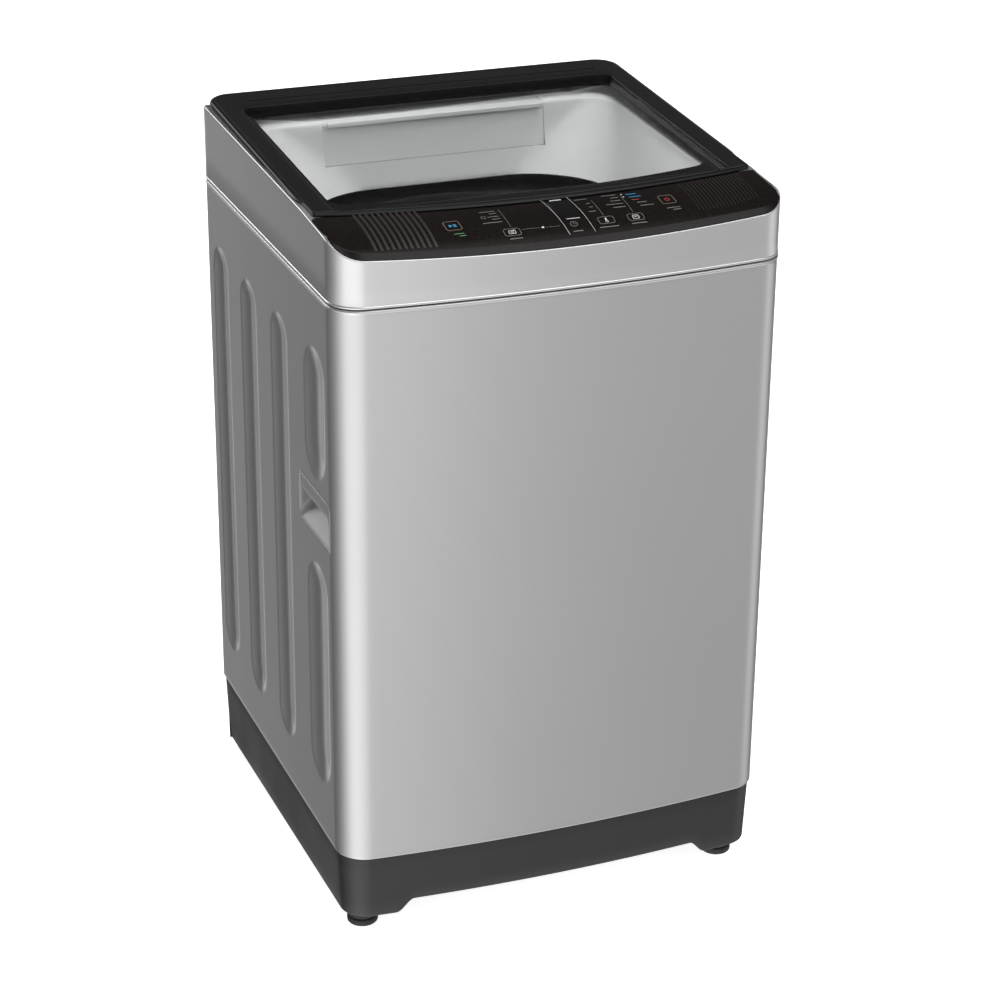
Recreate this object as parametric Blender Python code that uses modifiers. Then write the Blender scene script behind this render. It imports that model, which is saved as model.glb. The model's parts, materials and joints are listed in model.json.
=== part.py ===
# Top load washing machine, modelled as an assembly.
# Metres, +Z up, front towards -Y. Origin: on the floor, under the middle of the cabinet.
import bpy
import bmesh
import math
from mathutils import Matrix, Vector

# ---------------------------------------------------------------- driving dimensions
W = 0.550                 # cabinet width
HW = W / 2
YF = -0.268               # front face at the centre line
YB = 0.268                # back face
BOW = 0.0157              # how far the front bows forward
R_FRONT = 0.0393          # vertical front corner radius
R_BACK = 0.006            # vertical back corner radius
Z_BASE = 0.1105           # base to cabinet joint
Z_SEAM = 0.806            # cabinet to top frame joint
GAP = 0.0003              # running gap between touching pieces
SHEET = 0.0009            # steel sheet thickness

LID_HW = 0.2665           # lid half width
LID_YB = 0.265            # lid back edge
LID_R = 0.033             # lid back corner radius
LID_YF = -0.1845          # lid front edge at the centre
LID_BOW = 0.0255
HINGE_Y, HINGE_Z = 0.252, 0.9035
HINGE_X = 0.205

PORT = (0.195, -0.150, 0.172)     # loading port half width, front, back
MOUTH = (0.2345, -0.1455, 0.187)  # collar mouth at deck level
Z_PORT = 0.800

TUB_R = 0.2440            # outer tub radius
TUB_Z0, TUB_Z1 = 0.264, 0.765
DRUM_R = 0.2215
ROD_X, ROD_Y = 0.232, 0.224
ROD_Z0, ROD_Z1 = 0.205, 0.785
SPRING_Z0, SPRING_Z1 = 0.2105, 0.2997
MOTOR_Y = -0.150
PULLEY_R, MOTOR_PULLEY_R = 0.0750, 0.0230

FOOT_X, FOOT_Y = 0.238, -0.210

# silver top edge: height against depth, front to back
TOP_EDGE = [(-0.290, 0.8440), (-0.268, 0.8566), (-0.254, 0.8647), (-0.224, 0.8806), (-0.1375, 0.8871),
            (-0.046, 0.8906), (0.0988, 0.8951), (0.2397, 0.8995), (0.290, 0.9011)]


def lerp_table(table, y):
    for (y0, z0), (y1, z1) in zip(table, table[1:]):
        if y <= y1:
            return z0 + (z1 - z0) * (y - y0) / (y1 - y0)
    return table[-1][1]


def top_edge(y):
    return lerp_table(TOP_EDGE, y)


def lid_plane(y):
    return 0.9126 + 0.054 * (y - 0.2597)


def fascia_z(y):
    """Height of the control fascia's surface: a shallow slope that rolls over at the front."""
    s = -0.172 - y
    if s <= 0.083:
        return 0.887 - 0.0915 * s - 19.95 * max(s, 0.0) ** 3
    return lerp_table([(-0.2635, 0.8560), (-0.2622, 0.8608), (-0.2590, 0.8650), (-0.2550, 0.8680)], y)


def deck_z(y):
    """Height of the flat deck under the lid."""
    return 0.8754 + 0.0343 * (y + 0.150)


def fascia_slope(y):
    s = -0.172 - y
    return 0.0915 + 59.85 * s * s


# ---------------------------------------------------------------- scene helpers
for obj in list(bpy.data.objects):
    bpy.data.objects.remove(obj, do_unlink=True)

scene = bpy.context.scene
parts = bpy.data.collections.new("top_load_washing_machine")
cutters = bpy.data.collections.new("cutters")
scene.collection.children.link(parts)
scene.collection.children.link(cutters)

MATS = {}


def material(name, colour, rough, metal=0.0, alpha=1.0):
    if name not in MATS:
        m = bpy.data.materials.new(name)
        m.use_nodes = True
        b = m.node_tree.nodes["Principled BSDF"]
        b.inputs["Base Color"].default_value = (*colour, 1.0)
        b.inputs["Roughness"].default_value = rough
        b.inputs["Metallic"].default_value = metal
        b.inputs["Alpha"].default_value = alpha
        m.diffuse_color = (*colour, alpha)
        MATS[name] = m
    return MATS[name]


STEEL_PAINT = ("steel_paint", (0.42, 0.42, 0.43), 0.38, 0.6)
SILVER_PLASTIC = ("silver_plastic", (0.48, 0.48, 0.49), 0.34, 0.6)
BLACK = ("black_plastic", (0.02, 0.02, 0.022), 0.35)
GLOSS_BLACK = ("gloss_black", (0.012, 0.012, 0.013), 0.12)
GREY = ("light_grey_plastic", (0.55, 0.56, 0.57), 0.45)
DARK_GREY = ("dark_grey_plastic", (0.09, 0.09, 0.095), 0.5)
WHITE = ("white_plastic", (0.75, 0.76, 0.76), 0.5)
ZINC = ("zinc_steel", (0.5, 0.51, 0.52), 0.35, 1.0)
STAINLESS = ("stainless", (0.62, 0.62, 0.62), 0.28, 1.0)
CAST = ("cast_metal", (0.35, 0.35, 0.36), 0.55, 1.0)
RUBBER = ("rubber", (0.02, 0.02, 0.02), 0.8)
GLASS = ("lid_glass", (0.9, 0.92, 0.92), 0.03, 0.0, 0.35)
PCB = ("circuit_board", (0.03, 0.16, 0.06), 0.5)


def link(name, mesh, mat=None, coll=parts, matrix=None):
    obj = bpy.data.objects.new(name, mesh)
    coll.objects.link(obj)
    if matrix is not None:
        obj.matrix_world = matrix
    if mat is not None:
        mesh.materials.clear()
        mesh.materials.append(material(*mat))
    if coll is cutters:
        obj.hide_render = True
        obj.display_type = "WIRE"
    return obj


def finish_mesh(bm, name, smooth=None):
    bmesh.ops.recalc_face_normals(bm, faces=bm.faces)
    mesh = bpy.data.meshes.new(name)
    bm.to_mesh(mesh)
    bm.free()
    if smooth:
        mesh.shade_smooth()
        mesh.set_sharp_from_angle(angle=math.radians(smooth))
    return mesh


def box(name, lo, hi, mat=None, coll=parts, bevel=0.0):
    bm = bmesh.new()
    bmesh.ops.create_cube(bm, size=1.0)
    size = [hi[i] - lo[i] for i in range(3)]
    mid = [(hi[i] + lo[i]) / 2 for i in range(3)]
    bmesh.ops.scale(bm, vec=size, verts=bm.verts)
    bmesh.ops.translate(bm, vec=mid, verts=bm.verts)
    obj = link(name, finish_mesh(bm, name), mat, coll)
    if bevel:
        b = obj.modifiers.new("edges", "BEVEL")
        b.width = bevel
        b.segments = 1
        b.limit_method = "ANGLE"
    return obj


def cylinder(name, r, a, b, mat=None, coll=parts, seg=24, r2=None):
    """A cylinder or cone from point a to point b."""
    a, b = Vector(a), Vector(b)
    bm = bmesh.new()
    bmesh.ops.create_cone(bm, cap_ends=True, cap_tris=False, segments=seg, radius1=r,
                          radius2=r if r2 is None else r2, depth=(b - a).length)
    rot = (b - a).to_track_quat("Z", "Y").to_matrix().to_4x4()
    bmesh.ops.transform(bm, matrix=Matrix.Translation((a + b) / 2) @ rot, verts=bm.verts)
    return link(name, finish_mesh(bm, name, 40), mat, coll)


def plate(name, loops, z0, z1, mat=None, coll=parts, matrix=None):
    """A flat outline (with holes) of the given thickness, from a filled 2D curve."""
    curve = bpy.data.curves.new(name + "_outline", "CURVE")
    curve.dimensions = "2D"
    curve.fill_mode = "BOTH"
    curve.extrude = (z1 - z0) / 2
    for loop in loops:
        s = curve.splines.new("POLY")
        s.points.add(len(loop) - 1)
        for p, (x, y) in zip(s.points, loop):
            p.co = (x, y, 0.0, 1.0)
        s.use_cyclic_u = True
    tmp = bpy.data.objects.new(name + "_curve", curve)
    scene.collection.objects.link(tmp)
    dg = bpy.context.evaluated_depsgraph_get()
    dg.update()
    mesh = bpy.data.meshes.new_from_object(tmp.evaluated_get(dg))
    bpy.data.objects.remove(tmp, do_unlink=True)
    bm = bmesh.new()
    bm.from_mesh(mesh)
    bpy.data.meshes.remove(mesh)
    bmesh.ops.remove_doubles(bm, verts=bm.verts, dist=1e-6)
    m = Matrix.Translation((0, 0, (z0 + z1) / 2))
    if matrix is not None:
        m = matrix @ m
    bmesh.ops.transform(bm, matrix=m, verts=bm.verts)
    return link(name, finish_mesh(bm, name), mat, coll)


def side_profile(name, pts, x0, x1, mat=None, coll=parts):
    """An outline in the YZ plane extruded along X from x0 to x1."""
    m = Matrix(((0, 0, 1, 0), (1, 0, 0, 0), (0, 1, 0, 0), (0, 0, 0, 1)))
    return plate(name, [pts], x0, x1, mat, coll, m)


def front_profile(name, pts, y0, y1, mat=None, coll=parts):
    """An outline in the XZ plane extruded along Y from y0 to y1."""
    m = Matrix(((1, 0, 0, 0), (0, 0, -1, 0), (0, 1, 0, 0), (0, 0, 0, 1)))
    return plate(name, [pts], -y1, -y0, mat, coll, m)


def turned(name, profile, mat=None, steps=32, closed=True, centre=(0, 0, 0), coll=parts, rot=None, smooth=35):
    """A turned piece: (radius, height) points swept by a Screw modifier."""
    area = sum(a[0] * b[1] - b[0] * a[1] for a, b in zip(profile, profile[1:] + profile[:1]))
    pts = profile if area < 0 else profile[::-1]
    bm = bmesh.new()
    vs = [bm.verts.new((r, 0, z)) for r, z in pts]
    for a, b in zip(vs, vs[1:]):
        bm.edges.new((a, b))
    if closed:
        bm.edges.new((vs[-1], vs[0]))
    mesh = bpy.data.meshes.new(name)
    bm.to_mesh(mesh)
    bm.free()
    m = Matrix.Translation(centre)
    if rot is not None:
        m = m @ rot
    obj = link(name, mesh, mat, coll, m)
    s = obj.modifiers.new("turn", "SCREW")
    s.steps = steps
    s.render_steps = steps
    s.angle = 2 * math.pi
    s.use_merge_vertices = True
    s.merge_threshold = 0.00001
    s.use_normal_calculate = False
    return obj


def boolean(obj, tool, op="DIFFERENCE"):
    m = obj.modifiers.new(op.lower(), "BOOLEAN")
    m.operation = op
    m.solver = "EXACT"
    m.object = tool
    return obj


def bake(obj):
    """Applies an object's modifiers, so that it can take more cuts cheaply."""
    dg = bpy.context.evaluated_depsgraph_get()
    dg.update()
    mesh = bpy.data.meshes.new_from_object(obj.evaluated_get(dg))
    obj.modifiers.clear()
    obj.data = mesh
    return obj


def join_cutters(name, objs):
    """Several separate cutters as one, for a single cut. They must not touch each other."""
    bm = bmesh.new()
    dg = bpy.context.evaluated_depsgraph_get()
    dg.update()
    for o in objs:
        mesh = bpy.data.meshes.new_from_object(o.evaluated_get(dg))
        mesh.transform(o.matrix_world)
        bm.from_mesh(mesh)
        bpy.data.meshes.remove(mesh)
        bpy.data.objects.remove(o, do_unlink=True)
    mesh = bpy.data.meshes.new(name)
    bm.to_mesh(mesh)
    bm.free()
    return link(name, mesh, None, cutters)


# ---------------------------------------------------------------- outlines
def cabinet_outline(d=0.0, front=12, corner=6, back=2):
    """The cabinet's plan outline, inset by d, anticlockwise from the front left."""
    a = math.atan(2 * BOW * (HW - R_FRONT + 0.0039) / HW ** 2)
    xs = HW - R_FRONT + R_FRONT * math.sin(a)
    ys = YF + BOW * (xs / HW) ** 2
    cx, cy = HW - R_FRONT, ys + R_FRONT * math.cos(a)
    pts = []
    for i in range(front + 1):
        x = -xs + 2 * xs * i / front
        slope = 2 * BOW * x / HW ** 2
        n = math.hypot(1, slope)
        pts.append((x - d * slope / n, YF + BOW * (x / HW) ** 2 + d / n))
    right = []
    for i in range(1, corner + 1):
        t = -math.pi / 2 + a + (math.pi / 2 - a) * i / corner
        right.append((cx + (R_FRONT - d) * math.cos(t), cy + (R_FRONT - d) * math.sin(t)))
    rb = max(R_BACK - d, 0.0008)
    for i in range(back + 1):
        t = math.pi / 2 * i / back
        right.append((HW - d - rb + rb * math.cos(t), YB - d - rb + rb * math.sin(t)))
    left = [(-x, y) for x, y in reversed(right)]
    return pts + right + left


def rounded_rect(hw, y0, y1, r, corner=5, r_front=None):
    rf = r if r_front is None else r_front
    pts = []
    for cx, cy, rr, a0 in ((-hw + rf, y0 + rf, rf, 180), (hw - rf, y0 + rf, rf, 270),
                           (hw - r, y1 - r, r, 0), (-hw + r, y1 - r, r, 90)):
        for i in range(corner + 1):
            t = math.radians(a0 + 90 * i / corner)
            pts.append((cx + rr * math.cos(t), cy + rr * math.sin(t)))
    return pts


def lid_front(x, d=0.0):
    return LID_YF + LID_BOW * (x / LID_HW) ** 2 + d


def lid_outline(d=0.0, front=10, corner=6):
    hw, yb, r = LID_HW - d, LID_YB - d, LID_R - d
    pts = [(-hw + 2 * hw * i / front, lid_front(-hw + 2 * hw * i / front) + d) for i in range(front + 1)]
    for sx, a0 in ((1, 0), (-1, 90)):
        for i in range(corner + 1):
            t = math.radians(a0 + 90 * i / corner)
            pts.append((sx * (hw - r) + r * math.cos(t), yb - r + r * math.sin(t)))
    return pts


# ================================================================ cabinet shell
outline = cabinet_outline(0.0, 14, 7, 1)
bm = bmesh.new()
ring = [(HW - 0.028, YB - 0.0017), (HW - 0.0045, YB - 0.0017), (HW, YB - 0.0062)]
body_pts = [p for p in outline if p[1] < 0.2]
# body_pts runs front left to front right, then the right side; rotate it to start at the back left
front_pts = [p for p in body_pts if -0.2445 < p[0] < 0.2445]
right_pts = [p for p in body_pts if p[0] >= 0.2445]
left_pts = [(-x, y) for x, y in reversed(right_pts)]
poly = [(-x, y) for x, y in ring] + left_pts + front_pts + right_pts + list(reversed(ring))
vs = [bm.verts.new((x, y, Z_BASE)) for x, y in poly]
es = [bm.edges.new((a, b)) for a, b in zip(vs, vs[1:])]
up = bmesh.ops.extrude_edge_only(bm, edges=es)
bmesh.ops.translate(bm, vec=(0, 0, Z_SEAM - Z_BASE), verts=[v for v in up["geom"] if isinstance(v, bmesh.types.BMVert)])
bmesh.ops.recalc_face_normals(bm, faces=bm.faces)
# the sheet's outer faces look outwards
bm.faces.ensure_lookup_table()
mid = min(bm.faces, key=lambda f: f.calc_center_median().y)
if mid.normal.y > 0:
    bmesh.ops.reverse_faces(bm, faces=bm.faces)
mesh = bpy.data.meshes.new("cabinet_shell")
bm.to_mesh(mesh)
bm.free()
cabinet_shell = link("cabinet_shell", mesh, STEEL_PAINT)
s = cabinet_shell.modifiers.new("sheet", "SOLIDIFY")
s.thickness = SHEET
s.offset = -1
s.use_even_offset = True
HANDLE_Y = (-0.2195, -0.1035)
HANDLE_Z = (0.503, 0.562)
cut = join_cutters("handle_cutouts", [
    box("c1", (-0.30, HANDLE_Y[0], HANDLE_Z[0]), (-0.25, HANDLE_Y[1], HANDLE_Z[1]), None, cutters),
    box("c2", (0.25, HANDLE_Y[0], HANDLE_Z[0]), (0.30, HANDLE_Y[1], HANDLE_Z[1]), None, cutters)])
boolean(cabinet_shell, cut)

# ================================================================ rear panel, with the drain opening
DRAIN_X, DRAIN_Z = -0.205, 0.175
rear = plate("rear_panel", [[(-0.262, 0.1115), (0.262, 0.1115), (0.262, 0.8055), (-0.262, 0.8055)]],
             -0.2677, -0.2667, STEEL_PAINT, parts, Matrix(((1, 0, 0, 0), (0, 0, -1, 0), (0, 1, 0, 0), (0, 0, 0, 1))))
cut = cylinder("drain_opening", 0.019, (DRAIN_X, 0.24, DRAIN_Z), (DRAIN_X, 0.29, DRAIN_Z), None, cutters, 20)
boolean(rear, cut)

# ================================================================ base
def loft(name, rings, mat=None, coll=parts, smooth=None):
    """A closed solid through rings of equal point count, capped at both ends."""
    bm = bmesh.new()
    rows = [[bm.verts.new(p) for p in ring] for ring in rings]
    n = len(rows[0])
    for lower, upper in zip(rows, rows[1:]):
        for i in range(n):
            bm.faces.new((lower[i], lower[(i + 1) % n], upper[(i + 1) % n], upper[i]))
    bm.faces.new(rows[0][::-1])
    bm.faces.new(rows[-1])
    return link(name, finish_mesh(bm, name, smooth), mat, coll)


def at_z(points, z):
    return [(x, y, z) for x, y in points]


base = loft("base_frame", [at_z(cabinet_outline(0.0075, 10, 5, 1), 0.010),
                           at_z(cabinet_outline(0.0035, 10, 5, 1), Z_BASE - GAP)], BLACK)
inner = loft("base_inside", [at_z(cabinet_outline(0.0115, 10, 5, 1), -0.010),
                             at_z(cabinet_outline(0.0078, 10, 5, 1), 0.130)], None, cutters)
boolean(base, inner)
bake(base)
for i, (sx, y0, y1) in enumerate(((-1, -0.2565, -0.185), (1, -0.2565, -0.185), (-1, 0.190, 0.262), (1, 0.190, 0.262))):
    # corner blocks that carry the feet, clipped to the base outline
    block = plate("corner_block_%d" % i, [cabinet_outline(0.0095, 10, 5, 1)], 0.030, 0.062, None, cutters)
    x0, x1 = sorted((sx * 0.205, sx * 0.272))
    keep = box("keep_%d" % i, (x0, y0 - 0.02, 0.0), (x1, y1, 0.2), None, cutters)
    boolean(block, keep, "INTERSECT")
    bake(block)
    boolean(base, block, "UNION")
bake(base)
# bottom edge: level front skirt raised in the middle, sides falling gently to the back
under = side_profile("under_cut", [(-0.30, -0.02), (0.30, -0.02), (0.30, 0.0145), (-0.235, 0.0265), (-0.30, 0.0270)],
                     -0.30, 0.30, None, cutters)
boolean(base, under)
arch = front_profile("front_arch", [(-0.2065, 0.02), (0.2005, 0.02), (0.2005, 0.0265), (0.183, 0.0438), (-0.189, 0.0438), (-0.2065, 0.0265)],
                     -0.290, -0.240, None, cutters)
boolean(base, arch)
bake(base)
holes = []
for i, (x, y) in enumerate(((-FOOT_X, FOOT_Y), (FOOT_X, FOOT_Y), (-0.225, 0.222), (0.225, 0.222))):
    holes.append(cylinder("foot_hole_%d" % i, 0.0060, (x, y, -0.01), (x, y, 0.10), None, cutters, 12))
boolean(base, join_cutters("foot_holes", holes))

FOOT_PROFILE = [(0.0, 0.0), (0.0185, 0.0), (0.0190, 0.0015), (0.0190, 0.0085), (0.0130, 0.0130), (0.0105, 0.0135),
                (0.0105, 0.0215), (0.0050, 0.0220), (0.0050, 0.0600), (0.0, 0.0600)]
for side, sx in (("left", -1), ("right", 1)):
    turned("front_foot_" + side, FOOT_PROFILE, RUBBER, 20, False, (sx * FOOT_X, FOOT_Y, 0))
for side, sx in (("left", -1), ("right", 1)):
    turned("rear_foot_" + side, [(0.0, 0.0), (0.0185, 0.0), (0.0190, 0.0015), (0.0190, 0.0100), (0.0120, 0.0290),
                                 (0.0050, 0.0295), (0.0050, 0.0560), (0.0, 0.0560)],
           RUBBER, 20, False, (sx * 0.225, 0.222, 0))

# ================================================================ upper brace that carries the suspension rods
circle = [(0.2612 * math.cos(2 * math.pi * (i + 0.3) / 36), 0.2612 * math.sin(2 * math.pi * (i + 0.3) / 36)) for i in range(36)]
brace = plate("suspension_brace", [cabinet_outline(0.0032, 10, 5, 1), circle], ROD_Z1 - 0.003, ROD_Z1, ZINC)
holes = [cylinder("rod_hole_%d" % i, 0.0060, (sx * ROD_X, sy * ROD_Y, 0.77), (sx * ROD_X, sy * ROD_Y, 0.80), None, cutters, 12)
         for i, (sx, sy) in enumerate(((-1, -1), (1, -1), (-1, 1), (1, 1)))]
boolean(brace, join_cutters("rod_holes", holes))

ROD_PROFILE = [(0.0, ROD_Z0), (0.0150, ROD_Z0), (0.0150, SPRING_Z0 - GAP - 0.0012), (0.0040, SPRING_Z0 - GAP),
               (0.0040, ROD_Z1 + 0.0003), (0.0095, ROD_Z1 + 0.0004), (0.0095, ROD_Z1 + 0.006), (0.0050, ROD_Z1 + 0.011),
               (0.0, ROD_Z1 + 0.012)]
CORNERS = (("front_left", -1, -1), ("front_right", 1, -1), ("rear_left", -1, 1), ("rear_right", 1, 1))
for tag, sx, sy in CORNERS:
    turned("suspension_rod_" + tag, ROD_PROFILE, ZINC, 10, False, (sx * ROD_X, sy * ROD_Y, 0))


def coil(name, r, wire, z0, z1, turns, x, y, mat, per_turn=8):
    """A compression spring as a round wire along a helix."""
    curve = bpy.data.curves.new(name, "CURVE")
    curve.dimensions = "3D"
    curve.fill_mode = "FULL"
    curve.bevel_depth = wire
    curve.bevel_resolution = 0
    curve.use_fill_caps = True
    n = int(turns * per_turn)
    s = curve.splines.new("POLY")
    s.points.add(n)
    for i in range(n + 1):
        t = i / n
        a = 2 * math.pi * turns * t
        z = z0 + wire + (z1 - z0 - 2 * wire) * t
        s.points[i].co = (x + r * math.cos(a), y + r * math.sin(a), z, 1)
    tmp = bpy.data.objects.new(name + "_curve", curve)
    scene.collection.objects.link(tmp)
    dg = bpy.context.evaluated_depsgraph_get()
    dg.update()
    mesh = bpy.data.meshes.new_from_object(tmp.evaluated_get(dg))
    bpy.data.objects.remove(tmp, do_unlink=True)
    bm = bmesh.new()
    bm.from_mesh(mesh)
    bpy.data.meshes.remove(mesh)
    bmesh.ops.remove_doubles(bm, verts=bm.verts, dist=1e-5)
    return link(name, finish_mesh(bm, name, 60), mat)


for tag, sx, sy in CORNERS:
    coil("suspension_spring_" + tag, 0.0105, 0.0014, SPRING_Z0 + 0.0003, SPRING_Z1 - 0.0003, 5, sx * ROD_X, sy * ROD_Y, ZINC)

# ================================================================ top frame (painted surround)
top = plate("top_frame", [cabinet_outline(0.0, 16, 7, 1)], Z_SEAM + 0.0005, 0.93, SILVER_PLASTIC)
prof = [(-0.30, 0.79), (0.30, 0.79)] + [(y, z) for y, z in reversed(TOP_EDGE)]
prof[2] = (0.30, prof[2][1])
prof[-1] = (-0.30, 0.8383)
boolean(top, side_profile("top_profile", prof, -0.30, 0.30, None, cutters), "INTERSECT")
bake(top)
# hollow underneath
zs = [(-0.148, 0.8440), (-0.30, 0.8440), (-0.30, 0.79), (0.30, 0.79), (0.30, 0.8805), (0.2340, 0.8805)]
zs += [(0.2300, top_edge(0.23) - 0.0170), (0.0988, top_edge(0.0988) - 0.0170), (-0.046, top_edge(-0.046) - 0.0170), (-0.148, top_edge(-0.148) - 0.0170)]
hollow = plate("top_hollow", [cabinet_outline(0.0035, 16, 7, 1)], 0.78, 0.93, None, cutters)
boolean(hollow, side_profile("hollow_profile", zs, -0.29, 0.29, None, cutters), "INTERSECT")
bake(hollow)
INLET_X, INLET_Z = 0.2090, 0.855
CORD_X, CORD_Z = 0.1665, 0.850
boolean(hollow, box("recess_wall", (0.1465, 0.2410, 0.8250), (0.2320, 0.30, 0.90), None, cutters))
bake(hollow)
boolean(hollow, box("lock_room", (0.172, -0.200, 0.80), (0.218, -0.160, 0.8690), None, cutters), "UNION")
bake(hollow)
boolean(top, hollow)
bake(top)
# through opening for the loading collar
boolean(top, plate("collar_opening", [rounded_rect(0.2395, -0.1505, 0.2295, 0.018, 4)], 0.80, 0.93, None, cutters))
bake(top)
# recess that takes the collar's flange and the lid's inner part
LEDGE = 0.0030
pts = [(-0.30, deck_z(-0.19) - LEDGE), (-0.19, deck_z(-0.19) - LEDGE), (0.2360, deck_z(0.2360) - LEDGE), (0.2361, 0.95), (-0.30, 0.95)]
recess = plate("lid_recess", [[(-0.2525, lid_front(0.2525) - 0.0006)] +
                              [(-0.2525 + 0.505 * i / 10, lid_front(-0.2525 + 0.505 * i / 10) - 0.0006) for i in range(1, 10)] +
                              [(0.2525, lid_front(0.2525) - 0.0006), (0.2525, 0.2365), (-0.2525, 0.2365)]], 0.80, 0.95, None, cutters)
boolean(recess, side_profile("lid_recess_profile", pts, -0.28, 0.28, None, cutters), "INTERSECT")
bake(recess)
boolean(top, recess)
bake(top)
# hinge pocket, open to the back
boolean(top, box("hinge_pocket", (-0.2605, 0.2330, 0.8860), (0.2605, 0.30, 0.95), None, cutters))
bake(top)
# seat for the control fascia
FASCIA_T = 0.0072


def fascia_plan(d, back):
    """Plan outline of the fascia, inset d from the cabinet, up to the lid's front edge less a gap."""
    pts = [p for p in cabinet_outline(d, 16, 7, 1) if p[1] < -0.172]
    hw = 0.2668 + (0.0045 - d)
    keep = [(max(-hw, min(hw, x)), y) for x, y in pts]
    rear = [(hw - 2 * hw * i / 12, lid_front(hw - 2 * hw * i / 12) - back) for i in range(13)]
    # keep is ordered: front left .. front right .. right side; the left side comes last
    left = [p for p in keep if p[0] < -0.2445]
    rest = [p for p in keep if p[0] >= -0.2445]
    left.sort(key=lambda p: -p[1])
    return left + rest + rear


def fascia_band(name, top_off, low_off, mat=None, coll=cutters):
    ys = [-0.2635, -0.2622, -0.2590, -0.2550] + [-0.2550 + 0.0105 * i for i in range(1, 9)] + [-0.1500]
    upper = [(y, fascia_z(y) - top_off) for y in ys]
    lower = [(y, fascia_z(y) - low_off) for y in ys]
    pts = lower + upper[::-1]
    return side_profile(name, pts, -0.29, 0.29, mat, coll)


seat_plan = plate("fascia_seat", [fascia_plan(0.0040, 0.0002)], 0.80, 0.95, None, cutters)
ys = [-0.2650, -0.2636, -0.2622, -0.2590, -0.2550] + [-0.2550 + 0.0105 * i for i in range(1, 9)] + [-0.1500]
pts = [(-0.30, fascia_z(-0.2635) - FASCIA_T - 0.0006)] + [(y, (fascia_z(max(y, -0.2635)) - FASCIA_T - 0.0006)) for y in ys] + [(-0.1500, 0.95), (-0.30, 0.95)]
boolean(seat_plan, side_profile("fascia_seat_profile", pts, -0.29, 0.29, None, cutters), "INTERSECT")
bake(seat_plan)
boolean(top, seat_plan)
bake(top)
# electronics tray under the fascia
boolean(top, box("board_pocket", (-0.155, -0.2520, 0.8485), (0.165, -0.1925, 0.95), None, cutters))
bake(top)
# hinge lugs
for sx in (-1, 1):
    lug = box("lug_%d" % sx, (sx * HINGE_X - 0.005, HINGE_Y - 0.0042, 0.8830), (sx * HINGE_X + 0.005, HINGE_Y + 0.0042, HINGE_Z), None, cutters)
    knuckle = cylinder("knuckle_%d" % sx, 0.00425, (sx * HINGE_X - 0.0051, HINGE_Y, HINGE_Z), (sx * HINGE_X + 0.0051, HINGE_Y, HINGE_Z), None, cutters, 16)
    boolean(lug, knuckle, "UNION")
    bake(lug)
    boolean(top, lug, "UNION")
    bake(top)
holes = [cylinder("pin_bore_%d" % sx, 0.0021, (sx * HINGE_X - 0.012, HINGE_Y, HINGE_Z), (sx * HINGE_X + 0.012, HINGE_Y, HINGE_Z), None, cutters, 12)
         for sx in (-1, 1)]
boolean(top, join_cutters("pin_bores", holes))
bake(top)
# recess at the back for the water inlet and the cord gland
boolean(top, box("service_recess", (0.1490, 0.2435, 0.8320), (0.2295, 0.30, 0.8780), None, cutters))
bake(top)
boolean(top, join_cutters("service_holes", [
    cylinder("inlet_hole", 0.0146, (INLET_X, 0.23, INLET_Z), (INLET_X, 0.26, INLET_Z), None, cutters, 20),
    cylinder("cord_hole", 0.0088, (CORD_X, 0.23, CORD_Z), (CORD_X, 0.26, CORD_Z), None, cutters, 16)]))

# ================================================================ loading collar and deck
def collar_ring(hw, y0, y1, r, rf, zf):
    return [(x, y, zf(y)) for x, y in rounded_rect(hw, y0, y1, r, 5, rf)]


rings = [collar_ring(0.2505, -0.1560, 0.2350, 0.006, 0.006, deck_z),
         collar_ring(MOUTH[0], MOUTH[1], MOUTH[2], 0.040, 0.030, deck_z),
         collar_ring(MOUTH[0] - 0.0025, MOUTH[1] + 0.0010, MOUTH[2] - 0.0010, 0.042, 0.032, lambda y: deck_z(y) - 0.0040),
         collar_ring(0.2130, MOUTH[1] - 0.0005, 0.1790, 0.080, 0.060, lambda y: 0.8350),
         collar_ring(PORT[0], PORT[1], PORT[2], 0.110, 0.100, lambda y: Z_PORT)]
bm = bmesh.new()
rows = [[bm.verts.new(p) for p in r] for r in rings]
n = len(rows[0])
for a, b in zip(rows, rows[1:]):
    for i in range(n):
        bm.faces.new((a[i], a[(i + 1) % n], b[(i + 1) % n], b[i]))
bm.normal_update()
bm.faces.ensure_lookup_table()
if bm.faces[0].normal.z < 0:
    bmesh.ops.reverse_faces(bm, faces=bm.faces)
mesh = bpy.data.meshes.new("loading_collar")
bm.to_mesh(mesh)
bm.free()
mesh.shade_smooth()
mesh.set_sharp_from_angle(angle=math.radians(40))
collar = link("loading_collar", mesh, GREY)
s = collar.modifiers.new("wall", "SOLIDIFY")
s.thickness = 0.0024
s.offset = -1
s.use_even_offset = True
bake(collar)
boolean(collar, box("drawer_cutout", (-0.1463, 0.160, 0.8322), (0.1463, 0.2292, 0.92), None, cutters))

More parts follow.
